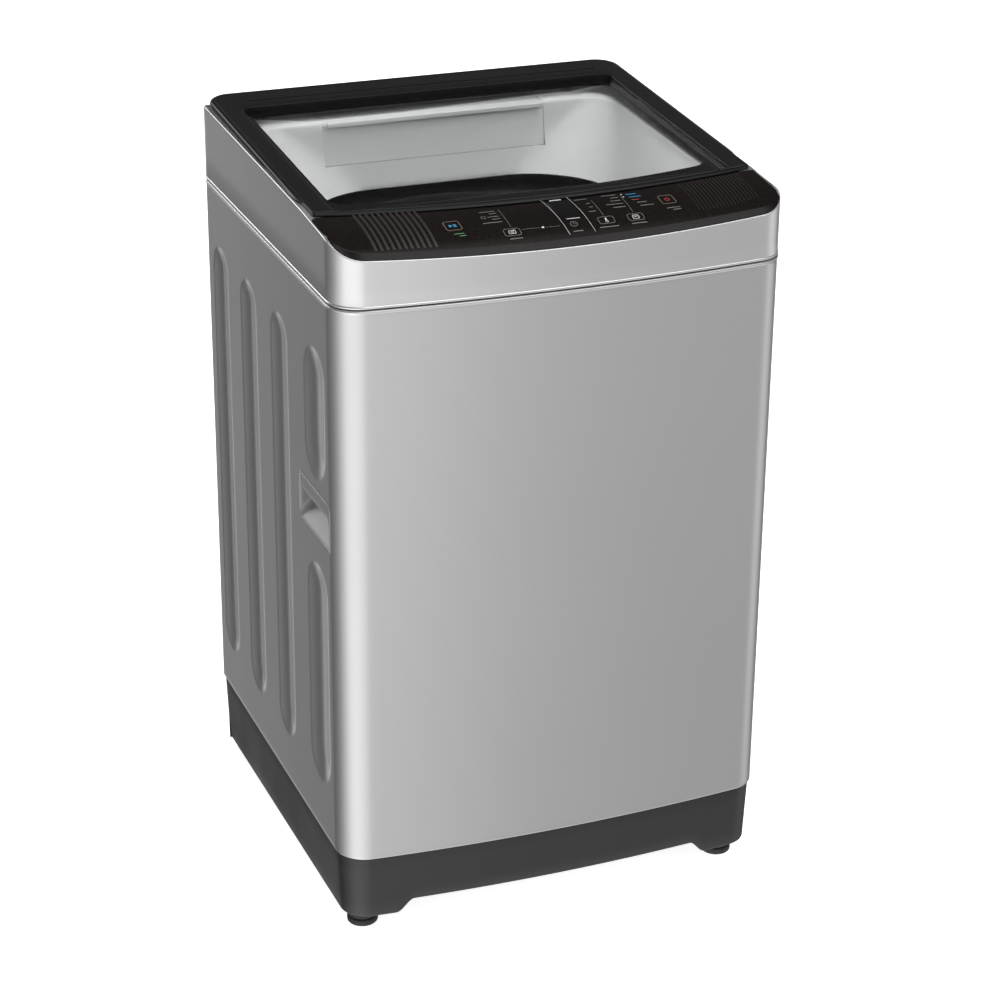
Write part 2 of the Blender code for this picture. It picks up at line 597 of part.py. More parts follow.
# ================================================================ detergent dispenser
housing = box("dispenser_housing", (-0.1458, 0.1902, 0.8305), (0.1458, 0.2378, 0.8795), GREY)
boolean(housing, box("housing_top", (-0.1458, 0.1902, 0.8780), (0.1458, 0.2286, 0.8868), None, cutters), "UNION")
bake(housing)
boolean(housing, box("housing_cavity", (-0.1438, 0.18, 0.8325), (0.1438, 0.2360, 0.8778), None, cutters))
bake(housing)
drawer = box("detergent_drawer", (-0.1432, 0.1896, 0.8330), (0.1432, 0.2350, 0.8700), WHITE)
boolean(drawer, box("drawer_front", (-0.1455, 0.1850, 0.8330), (0.1455, 0.1898, 0.8866), None, cutters), "UNION")
bake(drawer)
boolean(drawer, box("drawer_lip", (-0.1405, 0.1810, 0.8775), (0.1405, 0.1855, 0.8866), None, cutters), "UNION")
bake(drawer)
boolean(drawer, join_cutters("drawer_wells", [
    box("w1", (-0.1414, 0.1914, 0.8350), (-0.0310, 0.2332, 0.90), None, cutters),
    box("w2", (-0.0292, 0.1914, 0.8350), (0.0620, 0.2332, 0.90), None, cutters),
    box("w3", (0.0638, 0.1914, 0.8350), (0.1414, 0.2332, 0.90), None, cutters)]))

# ================================================================ lid
lid = plate("lid_frame", [lid_outline(0.0, 12, 6)], 0.85, 0.95, BLACK)
LT = [(y, top_edge(y) + 0.0006) for y in (-0.1845, -0.1375, -0.046, 0.0988, 0.2397, 0.2700)]
pts = [(-0.20, LT[0][1])] + LT + [(0.2700, lid_plane(0.27)), (-0.20, lid_plane(-0.20))]
boolean(lid, side_profile("lid_profile", pts, -0.28, 0.28, None, cutters), "INTERSECT")
bake(lid)
inner = plate("lid_inner_part", [[(-0.2515 + 0.503 * i / 10, lid_front(-0.2515 + 0.503 * i / 10)) for i in range(11)] +
                                 [(0.2515, 0.2320), (-0.2515, 0.2320)]], 0.85, 0.95, None, cutters)
pts = [(-0.20, lid_plane(-0.20) - 0.0125), (0.24, lid_plane(0.24) - 0.0125), (0.24, lid_plane(0.24) - 0.001), (-0.20, lid_plane(-0.20) - 0.001)]
boolean(inner, side_profile("lid_inner_profile", pts, -0.28, 0.28, None, cutters), "INTERSECT")
bake(inner)
boolean(lid, inner, "UNION")
bake(lid)
GLASS_RECT = (0.2425, -0.1585, 0.2000)
GLASS_TOP, GLASS_T = 0.0050, 0.0040


def lid_slab(name, outline, off_top, off_low, coll=cutters, mat=None):
    obj = plate(name, [outline], 0.84, 0.95, mat, coll)
    pts = [(-0.25, lid_plane(-0.25) - off_low), (0.30, lid_plane(0.30) - off_low),
           (0.30, lid_plane(0.30) - off_top), (-0.25, lid_plane(-0.25) - off_top)]
    boolean(obj, side_profile(name + "_band", pts, -0.29, 0.29, None, cutters), "INTERSECT")
    return bake(obj)


boolean(lid, lid_slab("glass_rebate", rounded_rect(GLASS_RECT[0] + 0.0004, GLASS_RECT[1] - 0.0004, GLASS_RECT[2] + 0.0004, 0.016, 4), -0.02, GLASS_TOP + GLASS_T + 0.0003))
bake(lid)
boolean(lid, lid_slab("glass_opening", rounded_rect(0.2300, -0.1465, 0.1800, 0.020, 4), -0.02, 0.03))
bake(lid)
notches = [box("notch_%d" % sx, (sx * HINGE_X - 0.0066, 0.2410, 0.87), (sx * HINGE_X + 0.0066, 0.30, 0.9103), None, cutters) for sx in (-1, 1)]
boolean(lid, join_cutters("hinge_notches", notches))
bake(lid)
boolean(lid, join_cutters("lid_pin_bores", [
    cylinder("lb_%d" % sx, 0.0021, (sx * HINGE_X - 0.0185, HINGE_Y, HINGE_Z), (sx * HINGE_X + 0.0185, HINGE_Y, HINGE_Z), None, cutters, 12) for sx in (-1, 1)]))
glass = lid_slab("lid_glass", rounded_rect(GLASS_RECT[0], GLASS_RECT[1], GLASS_RECT[2], 0.0156, 4), GLASS_TOP, GLASS_TOP + GLASS_T, parts, GLASS)
for side, sx in (("left", -1), ("right", 1)):
    cylinder("hinge_pin_" + side, 0.0016, (sx * HINGE_X - 0.0175, HINGE_Y, HINGE_Z), (sx * HINGE_X + 0.0175, HINGE_Y, HINGE_Z), ZINC, parts, 12)

# ================================================================ control fascia, display window, keys, board
fascia = plate("control_fascia", [fascia_plan(0.0045, 0.0010)], 0.80, 0.95, GLOSS_BLACK)
boolean(fascia, fascia_band("fascia_band", 0.0, FASCIA_T), "INTERSECT")
bake(fascia)
KEYS = (("start_key", -0.1272, -0.2215, 0.0225, 0.0220, 0.0035), ("program_key", -0.0650, -0.2440, 0.0225, 0.0145, 0.0035),
        ("delay_key", 0.0095, -0.2423, 0.0130, 0.0130, 0.0064), ("temperature_key", 0.0487, -0.2420, 0.0220, 0.0145, 0.0035),
        ("spin_key", 0.0846, -0.2423, 0.0220, 0.0145, 0.0035), ("power_key", 0.1342, -0.2172, 0.0215, 0.0220, 0.0035))


def key_matrix(x, y):
    a = math.atan(fascia_slope(y))
    return Matrix.Translation((x, y, fascia_z(y))) @ Matrix.Rotation(a, 4, "X")


cuts = []
for name, x, y, w, h, r in KEYS:
    o = rounded_rect(w / 2 + 0.0004, -h / 2 - 0.0004, h / 2 + 0.0004, r + 0.0003, 3)
    cuts.append(plate("hole_" + name, [o], -0.020, 0.010, None, cutters, key_matrix(x, y)))
boolean(fascia, join_cutters("key_holes", cuts))
bake(fascia)
for name, x, y, w, h, r in KEYS:
    plate(name, [rounded_rect(w / 2, -h / 2, h / 2, r, 3)], -0.0052, 0.0004, GLOSS_BLACK, parts, key_matrix(x, y))
WIN = (-0.0040, 0.0250, -0.2290, -0.1920)
boolean(fascia, box("window_hole", (WIN[0], WIN[2], 0.80), (WIN[1], WIN[3], 0.95), None, cutters))
window = box("display_window", (WIN[0] + 0.0004, WIN[2] + 0.0004, 0.80), (WIN[1] - 0.0004, WIN[3] - 0.0004, 0.95), GLOSS_BLACK)
boolean(window, fascia_band("window_band", 0.0003, 0.0033), "INTERSECT")
board = box("control_board", (-0.145, -0.2420, 0.8530), (0.155, -0.1990, 0.8546), PCB)
boolean(board, box("relay", (-0.100, -0.2150, 0.8540), (-0.080, -0.2020, 0.8640), None, cutters), "UNION")
bake(board)
boolean(board, box("capacitor_block", (0.090, -0.2250, 0.8540), (0.120, -0.2020, 0.8650), None, cutters), "UNION")
box("lid_lock", (0.175, -0.1970, 0.8480), (0.215, -0.1630, 0.8660), BLACK, parts, 0.0015)

# ================================================================ services at the back
valve = box("inlet_valve", (0.1940, 0.2080, 0.8400), (0.2240, 0.2400, 0.8700), BLACK)
boolean(valve, cylinder("inlet_thread", 0.0132, (INLET_X, 0.2395, INLET_Z), (INLET_X, 0.2660, INLET_Z), None, cutters, 20), "UNION")
bake(valve)
boolean(valve, cylinder("inlet_bore", 0.0090, (INLET_X, 0.2450, INLET_Z), (INLET_X, 0.28, INLET_Z), None, cutters, 16))
Y_AXIS = Matrix.Rotation(math.radians(-90), 4, "X")
turned("cord_gland", [(0.0036, 0.0), (0.0140, 0.0), (0.0140, 0.0036), (0.0084, 0.0040), (0.0078, 0.0190), (0.0060, 0.0225), (0.0036, 0.0225)],
       RUBBER, 16, True, (CORD_X, 0.2366, CORD_Z), parts, Y_AXIS)
turned("drain_outlet", [(0.0105, 0.0), (0.0135, 0.0), (0.0140, 0.0250), (0.0250, 0.0260), (0.0250, 0.0290), (0.0138, 0.0300), (0.0135, 0.0343), (0.0105, 0.0343)],
       BLACK, 20, True, (DRAIN_X, 0.2330, DRAIN_Z), parts, Y_AXIS)
for side, sx in (("left", -1), ("right", 1)):
    x_out, x_in = sx * 0.2747, sx * 0.2440
    lo = (min(x_out, x_in), HANDLE_Y[0] + 0.0003, HANDLE_Z[0] + 0.0003)
    hi = (max(x_out, x_in), HANDLE_Y[1] - 0.0003, HANDLE_Z[1] - 0.0003)
    h = box("side_handle_" + side, lo, hi, SILVER_PLASTIC)
    a, b = sorted((sx * 0.30, sx * 0.2460))
    boolean(h, box("pocket_" + side, (a, lo[1] + 0.0022, lo[2] + 0.0022), (b, hi[1] - 0.0022, hi[2] - 0.0150), None, cutters))
    bake(h)
    a, b = sorted((sx * 0.2680, sx * 0.2460))
    boolean(h, box("finger_room_" + side, (a, lo[1] + 0.0022, hi[2] - 0.0180), (b, hi[1] - 0.0022, hi[2] - 0.0022), None, cutters))

# ================================================================ tub group
tub = turned("outer_tub", [(0.2410, 0.7650), (0.2500, 0.7650), (0.2500, 0.7605), (TUB_R + 0.0010, 0.7600), (TUB_R - 0.002, 0.2760), (0.2330, 0.2640),
                           (0.0245, 0.2640), (0.0245, 0.2680), (0.2310, 0.2680), (0.2385, 0.2780)], GREY, 32)
bake(tub)
for i, (tag, sx, sy) in enumerate(CORNERS):
    a = math.atan2(sy * ROD_Y, sx * ROD_X)
    lug = plate("tub_lug_%d" % i, [[(0.2400, -0.026), (0.325, -0.0145), (0.3365, -0.009), (0.3365, 0.009), (0.325, 0.0145), (0.2400, 0.026)]],
                0.3000, 0.3240, None, cutters, Matrix.Rotation(a, 4, "Z"))
    boolean(tub, lug, "UNION")
    bake(tub)
holes = [cylinder("lug_hole_%d" % i, 0.0062, (sx * ROD_X, sy * ROD_Y, 0.28), (sx * ROD_X, sy * ROD_Y, 0.34), None, cutters, 12)
         for i, (tag, sx, sy) in enumerate(CORNERS)]
boolean(tub, join_cutters("lug_holes", holes))
turned("tub_cover", [(0.2010, 0.7735), (0.2070, 0.7765), (0.2480, 0.7765), (0.2530, 0.7740), (0.2530, 0.7560), (0.2504, 0.7560), (0.2504, 0.7653), (0.2070, 0.7653), (0.2010, 0.7660)],
       DARK_GREY, 32)
support = plate("tub_support_plate", [[(-0.075, -0.222), (0.075, -0.222), (0.095, -0.150), (0.110, 0.0), (0.080, 0.085), (-0.080, 0.085), (-0.110, 0.0), (-0.095, -0.150)],
                                      [(0.0240 * math.cos(2 * math.pi * i / 24), 0.0240 * math.sin(2 * math.pi * i / 24)) for i in range(24)]],
                0.2597, 0.2637, ZINC)
turned("gearcase", [(0.0138, 0.2730), (0.0225, 0.2730), (0.0225, 0.2594), (0.0640, 0.2594), (0.0640, 0.2520), (0.0520, 0.2480), (0.0500, 0.1860),
                    (0.0240, 0.1780), (0.0220, 0.1650), (0.0086, 0.1650), (0.0086, 0.2500), (0.0138, 0.2505)], CAST, 20)
turned("motor", [(0.0070, 0.2594), (0.0600, 0.2594), (0.0620, 0.2560), (0.0620, 0.2520), (0.0560, 0.2480), (0.0560, 0.1860), (0.0400, 0.1740), (0.0200, 0.1700), (0.0070, 0.1700)],
       CAST, 20, True, (0, MOTOR_Y, 0))


def pulley(name, r, groove, z0, z1, bore_top, shaft_r, centre, mat, steps):
    zm0, zm1 = z0 + 0.0050, z1 - 0.0050
    return turned(name, [(0.0, z0 - 0.004), (shaft_r + 0.006, z0 - 0.004), (shaft_r + 0.006, z0), (r, z0), (r, zm0 - 0.0020), (groove, zm0),
                         (groove, zm1), (r, zm1 + 0.0020), (r, z1), (shaft_r + 0.004, z1), (shaft_r, z1 + 0.0030), (shaft_r, bore_top), (0.0, bore_top)],
                  mat, steps, False, centre)


pulley("drive_pulley", PULLEY_R, PULLEY_R - 0.0055, 0.1370, 0.1580, 0.1990, 0.0075, (0, 0, 0), CAST, 24)
pulley("motor_pulley", MOTOR_PULLEY_R, MOTOR_PULLEY_R - 0.0055, 0.1370, 0.1580, 0.1900, 0.0058, (0, MOTOR_Y, 0), CAST, 16)


def belt_loop(r1, r2, dist, n=14):
    """Outline around two circles: r1 at the origin, r2 at -dist along Y."""
    a = math.asin((r1 - r2) / dist)
    pts = []
    for i in range(n + 1):
        t = -a + (math.pi + 2 * a) * i / n
        pts.append((r1 * math.cos(t), r1 * math.sin(t)))
    for i in range(n // 2 + 1):
        t = math.pi + a + (math.pi - 2 * a) * i / (n // 2)
        pts.append((r2 * math.cos(t), -dist + r2 * math.sin(t)))
    return pts


plate("drive_belt", [belt_loop(PULLEY_R + 0.0002, MOTOR_PULLEY_R + 0.0002, -MOTOR_Y, 24),
                     belt_loop(PULLEY_R - 0.0046, MOTOR_PULLEY_R - 0.0046, -MOTOR_Y, 24)], 0.1430, 0.1520, RUBBER)
DV = (-0.135, 0.105)
turned("drain_valve", [(0.0, 0.2020), (0.0150, 0.2020), (0.0160, 0.2250), (0.0240, 0.2290), (0.0240, 0.2600), (0.0200, 0.2636), (0.0, 0.2636)],
       BLACK, 20, False, (DV[0], DV[1], 0))

# ================================================================ drum group
turned("wash_basket", [(0.2206, 0.7045), (0.2230, 0.7045), (0.2232, 0.7015), (0.2218, 0.7000), (DRUM_R, 0.6900), (DRUM_R, 0.3080), (0.2150, 0.2960), (0.2000, 0.2930),
                       (0.0200, 0.2930), (0.0200, 0.2940), (0.2000, 0.2940), (0.2144, 0.2970), (0.2206, 0.3083)], STAINLESS, 36)
turned("balance_ring", [(0.1900, 0.7100), (0.1900, 0.7450), (0.1940, 0.7510), (0.2200, 0.7510), (0.2255, 0.7470), (0.2255, 0.7100), (0.2240, 0.7048), (0.1950, 0.7048)],
       DARK_GREY, 32)
turned("basket_hub", [(0.0134, 0.2760), (0.0134, 0.2926), (0.1250, 0.2926), (0.1250, 0.2890), (0.0400, 0.2840), (0.0300, 0.2760)], CAST, 20)
turned("spin_shaft", [(0.0085, 0.2520), (0.0085, 0.2990), (0.0130, 0.2990), (0.0130, 0.2520)], STAINLESS, 14)
lint = box("lint_filter", (-0.0450, 0.1900, 0.4500), (0.0450, 0.2140, 0.6000), WHITE, parts, 0.004)

# ================================================================ pulsator group
puls = turned("pulsator", [(0.0084, 0.3020), (0.0084, 0.3380), (0.0350, 0.3380), (0.0500, 0.3300), (0.1200, 0.3180), (0.1620, 0.3130), (0.1720, 0.3080), (0.1720, 0.3020)],
              GREY, 24)
bake(puls)
for i in range(6):
    a = 2 * math.pi * i / 6
    vane = plate("vane_%d" % i, [[(0.0420, 0.0), (0.1560, 0.0), (0.1500, 0.0180), (0.1100, 0.0330), (0.0420, 0.0300)]], -0.0055, 0.0055, None, cutters,
                 Matrix.Rotation(a, 4, "Z") @ Matrix.Translation((0, 0, 0.3070)) @ Matrix.Rotation(math.pi / 2, 4, "X"))
    boolean(puls, vane, "UNION")
    bake(puls)
turned("wash_shaft", [(0.0, 0.2050), (0.0078, 0.2050), (0.0078, 0.3360), (0.0, 0.3360)], STAINLESS, 16, False)
turned("pulsator_cap", [(0.0, 0.3384), (0.0300, 0.3384), (0.0310, 0.3420), (0.0230, 0.3470), (0.0, 0.3490)], GREY, 24, False)
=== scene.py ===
# Looks of a top load washing machine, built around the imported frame.
import bpy
import bmesh
import json
import math
from mathutils import Matrix, Vector


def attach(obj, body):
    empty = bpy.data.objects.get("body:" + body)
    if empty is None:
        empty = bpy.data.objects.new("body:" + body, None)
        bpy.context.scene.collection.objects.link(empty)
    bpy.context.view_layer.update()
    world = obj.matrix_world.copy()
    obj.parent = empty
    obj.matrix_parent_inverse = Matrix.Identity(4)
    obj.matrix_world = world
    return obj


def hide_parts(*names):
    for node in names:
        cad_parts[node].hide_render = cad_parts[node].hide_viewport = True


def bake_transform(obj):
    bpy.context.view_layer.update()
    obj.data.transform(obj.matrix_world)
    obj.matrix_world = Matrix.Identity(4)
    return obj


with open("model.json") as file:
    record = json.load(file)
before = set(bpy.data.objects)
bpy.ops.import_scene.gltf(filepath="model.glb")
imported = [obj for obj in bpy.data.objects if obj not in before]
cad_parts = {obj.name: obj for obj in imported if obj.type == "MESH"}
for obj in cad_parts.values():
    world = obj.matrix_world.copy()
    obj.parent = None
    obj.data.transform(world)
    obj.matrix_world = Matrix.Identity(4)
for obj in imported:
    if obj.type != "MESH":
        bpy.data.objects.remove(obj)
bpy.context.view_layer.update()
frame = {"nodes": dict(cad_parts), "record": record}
NODES = frame["nodes"]
SLOT_OF = {s["node"]: s["material_slot"] for s in frame["record"]["subparts"]}

# ------------------------------------------------------------------ shared dimensions (metres)
HW, YF, YB, BOW, R_FRONT, R_BACK = 0.275, -0.268, 0.268, 0.0157, 0.0393, 0.006
Z_BASE, Z_SEAM = 0.1105, 0.806
LID_HW, LID_YB, LID_R, LID_YF, LID_BOW = 0.2722, 0.2672, 0.030, -0.1845, 0.0266
HINGE_X, HINGE_Y, HINGE_Z = 0.205, 0.252, 0.9035
TOP_EDGE = [(-0.290, 0.8440), (-0.268, 0.8566), (-0.254, 0.8647), (-0.224, 0.8806), (-0.1375, 0.8871),
            (-0.046, 0.8906), (0.0988, 0.8951), (0.2397, 0.8995), (0.290, 0.9011)]
GLASS_RECT = (0.2425, -0.1585, 0.2060, 0.0156)
OPENING = (0.2335, -0.1410, 0.1995, 0.0180)
KEYS = (("start_key", "key_start", -0.1272, -0.2215, 0.0225, 0.0220, 0.0035), ("program_key", "key_program", -0.0650, -0.2440, 0.0225, 0.0145, 0.0035),
        ("delay_key", "key_delay", 0.0095, -0.2423, 0.0130, 0.0130, 0.0064), ("temperature_key", "key_temperature", 0.0487, -0.2420, 0.0220, 0.0145, 0.0035),
        ("spin_key", "key_spin", 0.0846, -0.2423, 0.0220, 0.0145, 0.0035), ("power_key", "key_power", 0.1342, -0.2172, 0.0215, 0.0220, 0.0035))
WIN = (-0.0040, 0.0250, -0.2290, -0.1920)


def lerp(a, b, t):
    return a + (b - a) * t


def smooth(t):
    t = max(0.0, min(1.0, t))
    return t * t * (3 - 2 * t)


def top_raw(y):
    for (y0, z0), (y1, z1) in zip(TOP_EDGE, TOP_EDGE[1:]):
        if y <= y1:
            return z0 + (z1 - z0) * (y - y0) / (y1 - y0)
    return TOP_EDGE[-1][1]


def top_edge(y):
    """The side's top edge, with its corners eased over 24 mm."""
    n = 9
    return sum(top_raw(y + 0.012 * (2 * i / (n - 1) - 1)) for i in range(n)) / n - 0.0002


def lid_plane(y):
    return 0.9126 + 0.054 * (y - 0.2597)


def deck_z(y):
    return 0.8754 + 0.0343 * (y + 0.150)


def lid_front(x):
    return LID_YF + LID_BOW * (x / LID_HW) ** 2


def panel_z(y):
    s = max(-0.172 - y, 0.0)
    return 0.887 - 0.0915 * (-0.172 - y) - 19.95 * s ** 3


# ------------------------------------------------------------------ materials
MATS = {}


def node(nt, kind, **values):
    n = nt.nodes.new(kind)
    for k, v in values.items():
        setattr(n, k, v)
    return n


def noise(nt, coord, scale, detail=2.0, rough=0.5, stretch=None):
    if stretch is not None:
        m = node(nt, "ShaderNodeMapping")
        m.inputs["Scale"].default_value = stretch
        nt.links.new(coord, m.inputs["Vector"])
        coord = m.outputs["Vector"]
    n = node(nt, "ShaderNodeTexNoise")
    n.inputs["Scale"].default_value = scale
    n.inputs["Detail"].default_value = detail
    n.inputs["Roughness"].default_value = rough
    nt.links.new(coord, n.inputs["Vector"])
    return n.outputs["Fac"]


def remap(nt, value, a, b, lo=0.3, hi=0.7):
    m = node(nt, "ShaderNodeMapRange")
    m.inputs["From Min"].default_value = lo
    m.inputs["From Max"].default_value = hi
    m.inputs["To Min"].default_value = a
    m.inputs["To Max"].default_value = b
    nt.links.new(value, m.inputs["Value"])
    return m.outputs["Result"]


def mix_colour(nt, fac, a, b):
    m = node(nt, "ShaderNodeMix", data_type="RGBA")
    if hasattr(fac, "links"):
        nt.links.new(fac, m.inputs["Factor"])
    else:
        m.inputs["Factor"].default_value = fac
    for sock, v in ((m.inputs[6], a), (m.inputs[7], b)):
        if hasattr(v, "links"):
            nt.links.new(v, sock)
        else:
            sock.default_value = (*v, 1.0)
    return m.outputs[2]


def surface(name, colour, rough, metal=0.0, spec=0.5, coat=0.0, coat_rough=0.05, vary=0.06, tint=None,
            fine=600.0, broad=9.0, rough_vary=0.04, bump=(900.0, 0.05, 0.0002), stretch=None, sheen=0.0, edge=0.0):
    """A Principled surface with two scales of colour variation, uneven gloss and a fine relief."""
    if name in MATS:
        return MATS[name]
    m = bpy.data.materials.new(name)
    m.use_nodes = True
    nt = m.node_tree
    b = nt.nodes["Principled BSDF"]
    b.inputs["Metallic"].default_value = metal
    b.inputs["Specular IOR Level"].default_value = spec
    b.inputs["Coat Weight"].default_value = coat
    b.inputs["Coat Roughness"].default_value = coat_rough
    b.inputs["Sheen Weight"].default_value = sheen
    tc = node(nt, "ShaderNodeTexCoord").outputs["Object"]
    lo = tuple(c * (1 - vary) for c in colour)
    hi = tuple(min(1.0, c * (1 + vary)) for c in (tint or colour))
    small = noise(nt, tc, fine, 2.0, 0.6, stretch)
    large = noise(nt, tc, broad, 3.0, 0.55)
    base = mix_colour(nt, remap(nt, small, 0.0, 1.0), lo, hi)
    base = mix_colour(nt, remap(nt, large, 0.0, 0.5), base, tuple(c * (1 - vary * 0.7) for c in colour))
    if edge:
        geo = node(nt, "ShaderNodeNewGeometry")
        base = mix_colour(nt, remap(nt, geo.outputs["Pointiness"], 0.0, edge, 0.52, 0.60), base, tuple(min(1.0, c * 1.8 + 0.03) for c in colour))
    nt.links.new(base, b.inputs["Base Color"])
    nt.links.new(remap(nt, large, rough - rough_vary, rough + rough_vary), b.inputs["Roughness"])
    if bump:
        scale, strength, dist = bump
        bp = node(nt, "ShaderNodeBump")
        bp.inputs["Strength"].default_value = strength
        bp.inputs["Distance"].default_value = dist
        nt.links.new(noise(nt, tc, scale, 2.0, 0.55, stretch), bp.inputs["Height"])
        nt.links.new(bp.outputs["Normal"], b.inputs["Normal"])
    MATS[name] = m
    return m


def glass_material():
    m = bpy.data.materials.new("tempered_glass")
    m.use_nodes = True
    nt = m.node_tree
    out = nt.nodes["Material Output"]
    nt.nodes.remove(nt.nodes["Principled BSDF"])
    tr = node(nt, "ShaderNodeBsdfTransparent")
    gl = node(nt, "ShaderNodeBsdfGlossy")
    fr = node(nt, "ShaderNodeFresnel")
    fr.inputs["IOR"].default_value = 1.45
    mx = node(nt, "ShaderNodeMixShader")
    tc = node(nt, "ShaderNodeTexCoord").outputs["Object"]
    haze = noise(nt, tc, 14.0, 3.0, 0.6)
    nt.links.new(mix_colour(nt, remap(nt, haze, 0.0, 1.0), (0.965, 0.970, 0.968), (0.975, 0.98, 0.978)), tr.inputs["Color"])
    nt.links.new(remap(nt, haze, 0.004, 0.022), gl.inputs["Roughness"])
    gl.inputs["Color"].default_value = (0.9, 0.92, 0.92, 1.0)
    geo = node(nt, "ShaderNodeNewGeometry")
    front = node(nt, "ShaderNodeMath", operation="SUBTRACT")
    front.inputs[0].default_value = 1.0
    nt.links.new(geo.outputs["Backfacing"], front.inputs[1])
    weight = node(nt, "ShaderNodeMath", operation="MULTIPLY")
    nt.links.new(fr.outputs["Fac"], weight.inputs[0])
    nt.links.new(front.outputs[0], weight.inputs[1])
    nt.links.new(weight.outputs[0], mx.inputs["Fac"])
    nt.links.new(tr.outputs["BSDF"], mx.inputs[1])
    nt.links.new(gl.outputs["BSDF"], mx.inputs[2])
    nt.links.new(mx.outputs["Shader"], out.inputs["Surface"])
    MATS["tempered_glass"] = m
    return m


PAINT = surface("silver_paint", (0.50, 0.50, 0.502), 0.32, metal=0.8, coat=0.3, coat_rough=0.1, vary=0.045, fine=1500.0, broad=5.0,
                rough_vary=0.02, bump=(700.0, 0.035, 0.0002))
TOP_PAINT = surface("silver_lacquer", (0.57, 0.57, 0.572), 0.30, metal=0.8, coat=0.35, coat_rough=0.08, vary=0.04, fine=1500.0, broad=6.0,
                    rough_vary=0.02, bump=(700.0, 0.03, 0.0002))
GRAIN = surface("grained_black", (0.013, 0.013, 0.0135), 0.44, spec=0.5, vary=0.12, fine=900.0, rough_vary=0.05, bump=(1300.0, 0.25, 0.0003))
LID_BLACK = surface("lid_black", (0.0082, 0.0082, 0.0086), 0.24, spec=0.13, vary=0.10, fine=700.0, rough_vary=0.03, bump=(1100.0, 0.06, 0.0002))
PIANO = surface("piano_black", (0.0064, 0.0058, 0.0056), 0.15, spec=0.10, coat=0.03, coat_rough=0.04, vary=0.15, tint=(0.0105, 0.0080, 0.0070), fine=300.0,
                rough_vary=0.02, bump=(500.0, 0.015, 0.0002))
COLLAR = surface("collar_plastic", (0.70, 0.703, 0.705), 0.34, spec=0.45, vary=0.025, fine=500.0, rough_vary=0.03, bump=(900.0, 0.03, 0.0002))
GRIP = surface("grip_plastic", (0.255, 0.255, 0.257), 0.44, spec=0.35, metal=0.25, vary=0.05, fine=900.0, rough_vary=0.03, bump=(900.0, 0.06, 0.0002))
GREY = surface("grey_plastic", (0.42, 0.425, 0.43), 0.42, vary=0.04, fine=500.0, bump=(900.0, 0.08, 0.0002))
DARK = surface("dark_plastic", (0.045, 0.046, 0.048), 0.38, vary=0.10, fine=600.0, bump=(900.0, 0.10, 0.0002))
WHITE = surface("white_plastic_drawer", (0.705, 0.708, 0.710), 0.34, spec=0.45, vary=0.025, fine=500.0, bump=(900.0, 0.04, 0.0002))
ZINC = surface("zinc_plate", (0.46, 0.47, 0.49), 0.34, metal=1.0, vary=0.14, fine=60.0, broad=14.0, rough_vary=0.08, bump=(300.0, 0.05, 0.0002))
STAINLESS = surface("stainless_sheet", (0.56, 0.56, 0.57), 0.24, metal=1.0, vary=0.06, fine=220.0, rough_vary=0.05, bump=(260.0, 0.06, 0.0002), stretch=(1.0, 1.0, 14.0))
CAST = surface("cast_alloy", (0.33, 0.33, 0.34), 0.50, metal=1.0, vary=0.15, fine=250.0, rough_vary=0.08, bump=(420.0, 0.30, 0.0004))
RUBBER = surface("black_rubber", (0.022, 0.022, 0.022), 0.72, vary=0.18, fine=350.0, rough_vary=0.08, bump=(650.0, 0.25, 0.0003))
BOARD = surface("board_green", (0.02, 0.11, 0.045), 0.42, vary=0.25, fine=160.0, bump=(240.0, 0.15, 0.0003))
GLASS = glass_material()
PRINT = surface("print_white", (0.60, 0.60, 0.60), 0.45, vary=0.05, fine=900.0, bump=None)
PRINT_GREY = surface("print_grey", (0.16, 0.16, 0.158), 0.45, vary=0.10, fine=900.0, bump=None)
# lighter than the black field: painted highlight for the hatch ridges, given as a flat colour
HATCH_SHEEN = surface("hatch_sheen_dim", (0.024, 0.021, 0.0195), 0.34, vary=0.15, fine=500.0, bump=None)
PRINT_COPPER = surface("print_copper", (0.20, 0.14, 0.115), 0.40, vary=0.10, fine=900.0, bump=None)
PRINT_BLUE = surface("print_blue", (0.035, 0.27, 0.50), 0.40, vary=0.08, fine=900.0, bump=None)
PRINT_RED = surface("print_red", (0.36, 0.045, 0.035), 0.40, vary=0.08, fine=900.0, bump=None)
PRINT_GREEN = surface("print_green", (0.07, 0.25, 0.12), 0.40, vary=0.08, fine=900.0, bump=None)
SLOT_MATS = {"steel_paint": PAINT, "silver_plastic": TOP_PAINT, "black_plastic": GRAIN, "gloss_black": PIANO, "light_grey_plastic": GREY,
             "dark_grey_plastic": DARK, "white_plastic": WHITE, "zinc_steel": ZINC, "stainless": STAINLESS, "cast_metal": CAST,
             "rubber": RUBBER, "lid_glass": GLASS, "circuit_board": BOARD}


# ------------------------------------------------------------------ mesh helpers
def skin(rows, close_u=False, close_v=False, bm=None):
    """Quads between rows of points."""
    bm = bm or bmesh.new()
    vs = [[bm.verts.new(p) for p in row] for row in rows]
    n = len(vs[0])
    for i in range(len(vs) if close_v else len(vs) - 1):
        a, b = vs[i], vs[(i + 1) % len(vs)]
        for j in range(n if close_u else n - 1):
            k = (j + 1) % n
            bm.faces.new((a[j], a[k], b[k], b[j]))
    return bm


def cap(bm, points):
    return bm.faces.new([bm.verts.new(p) for p in points])


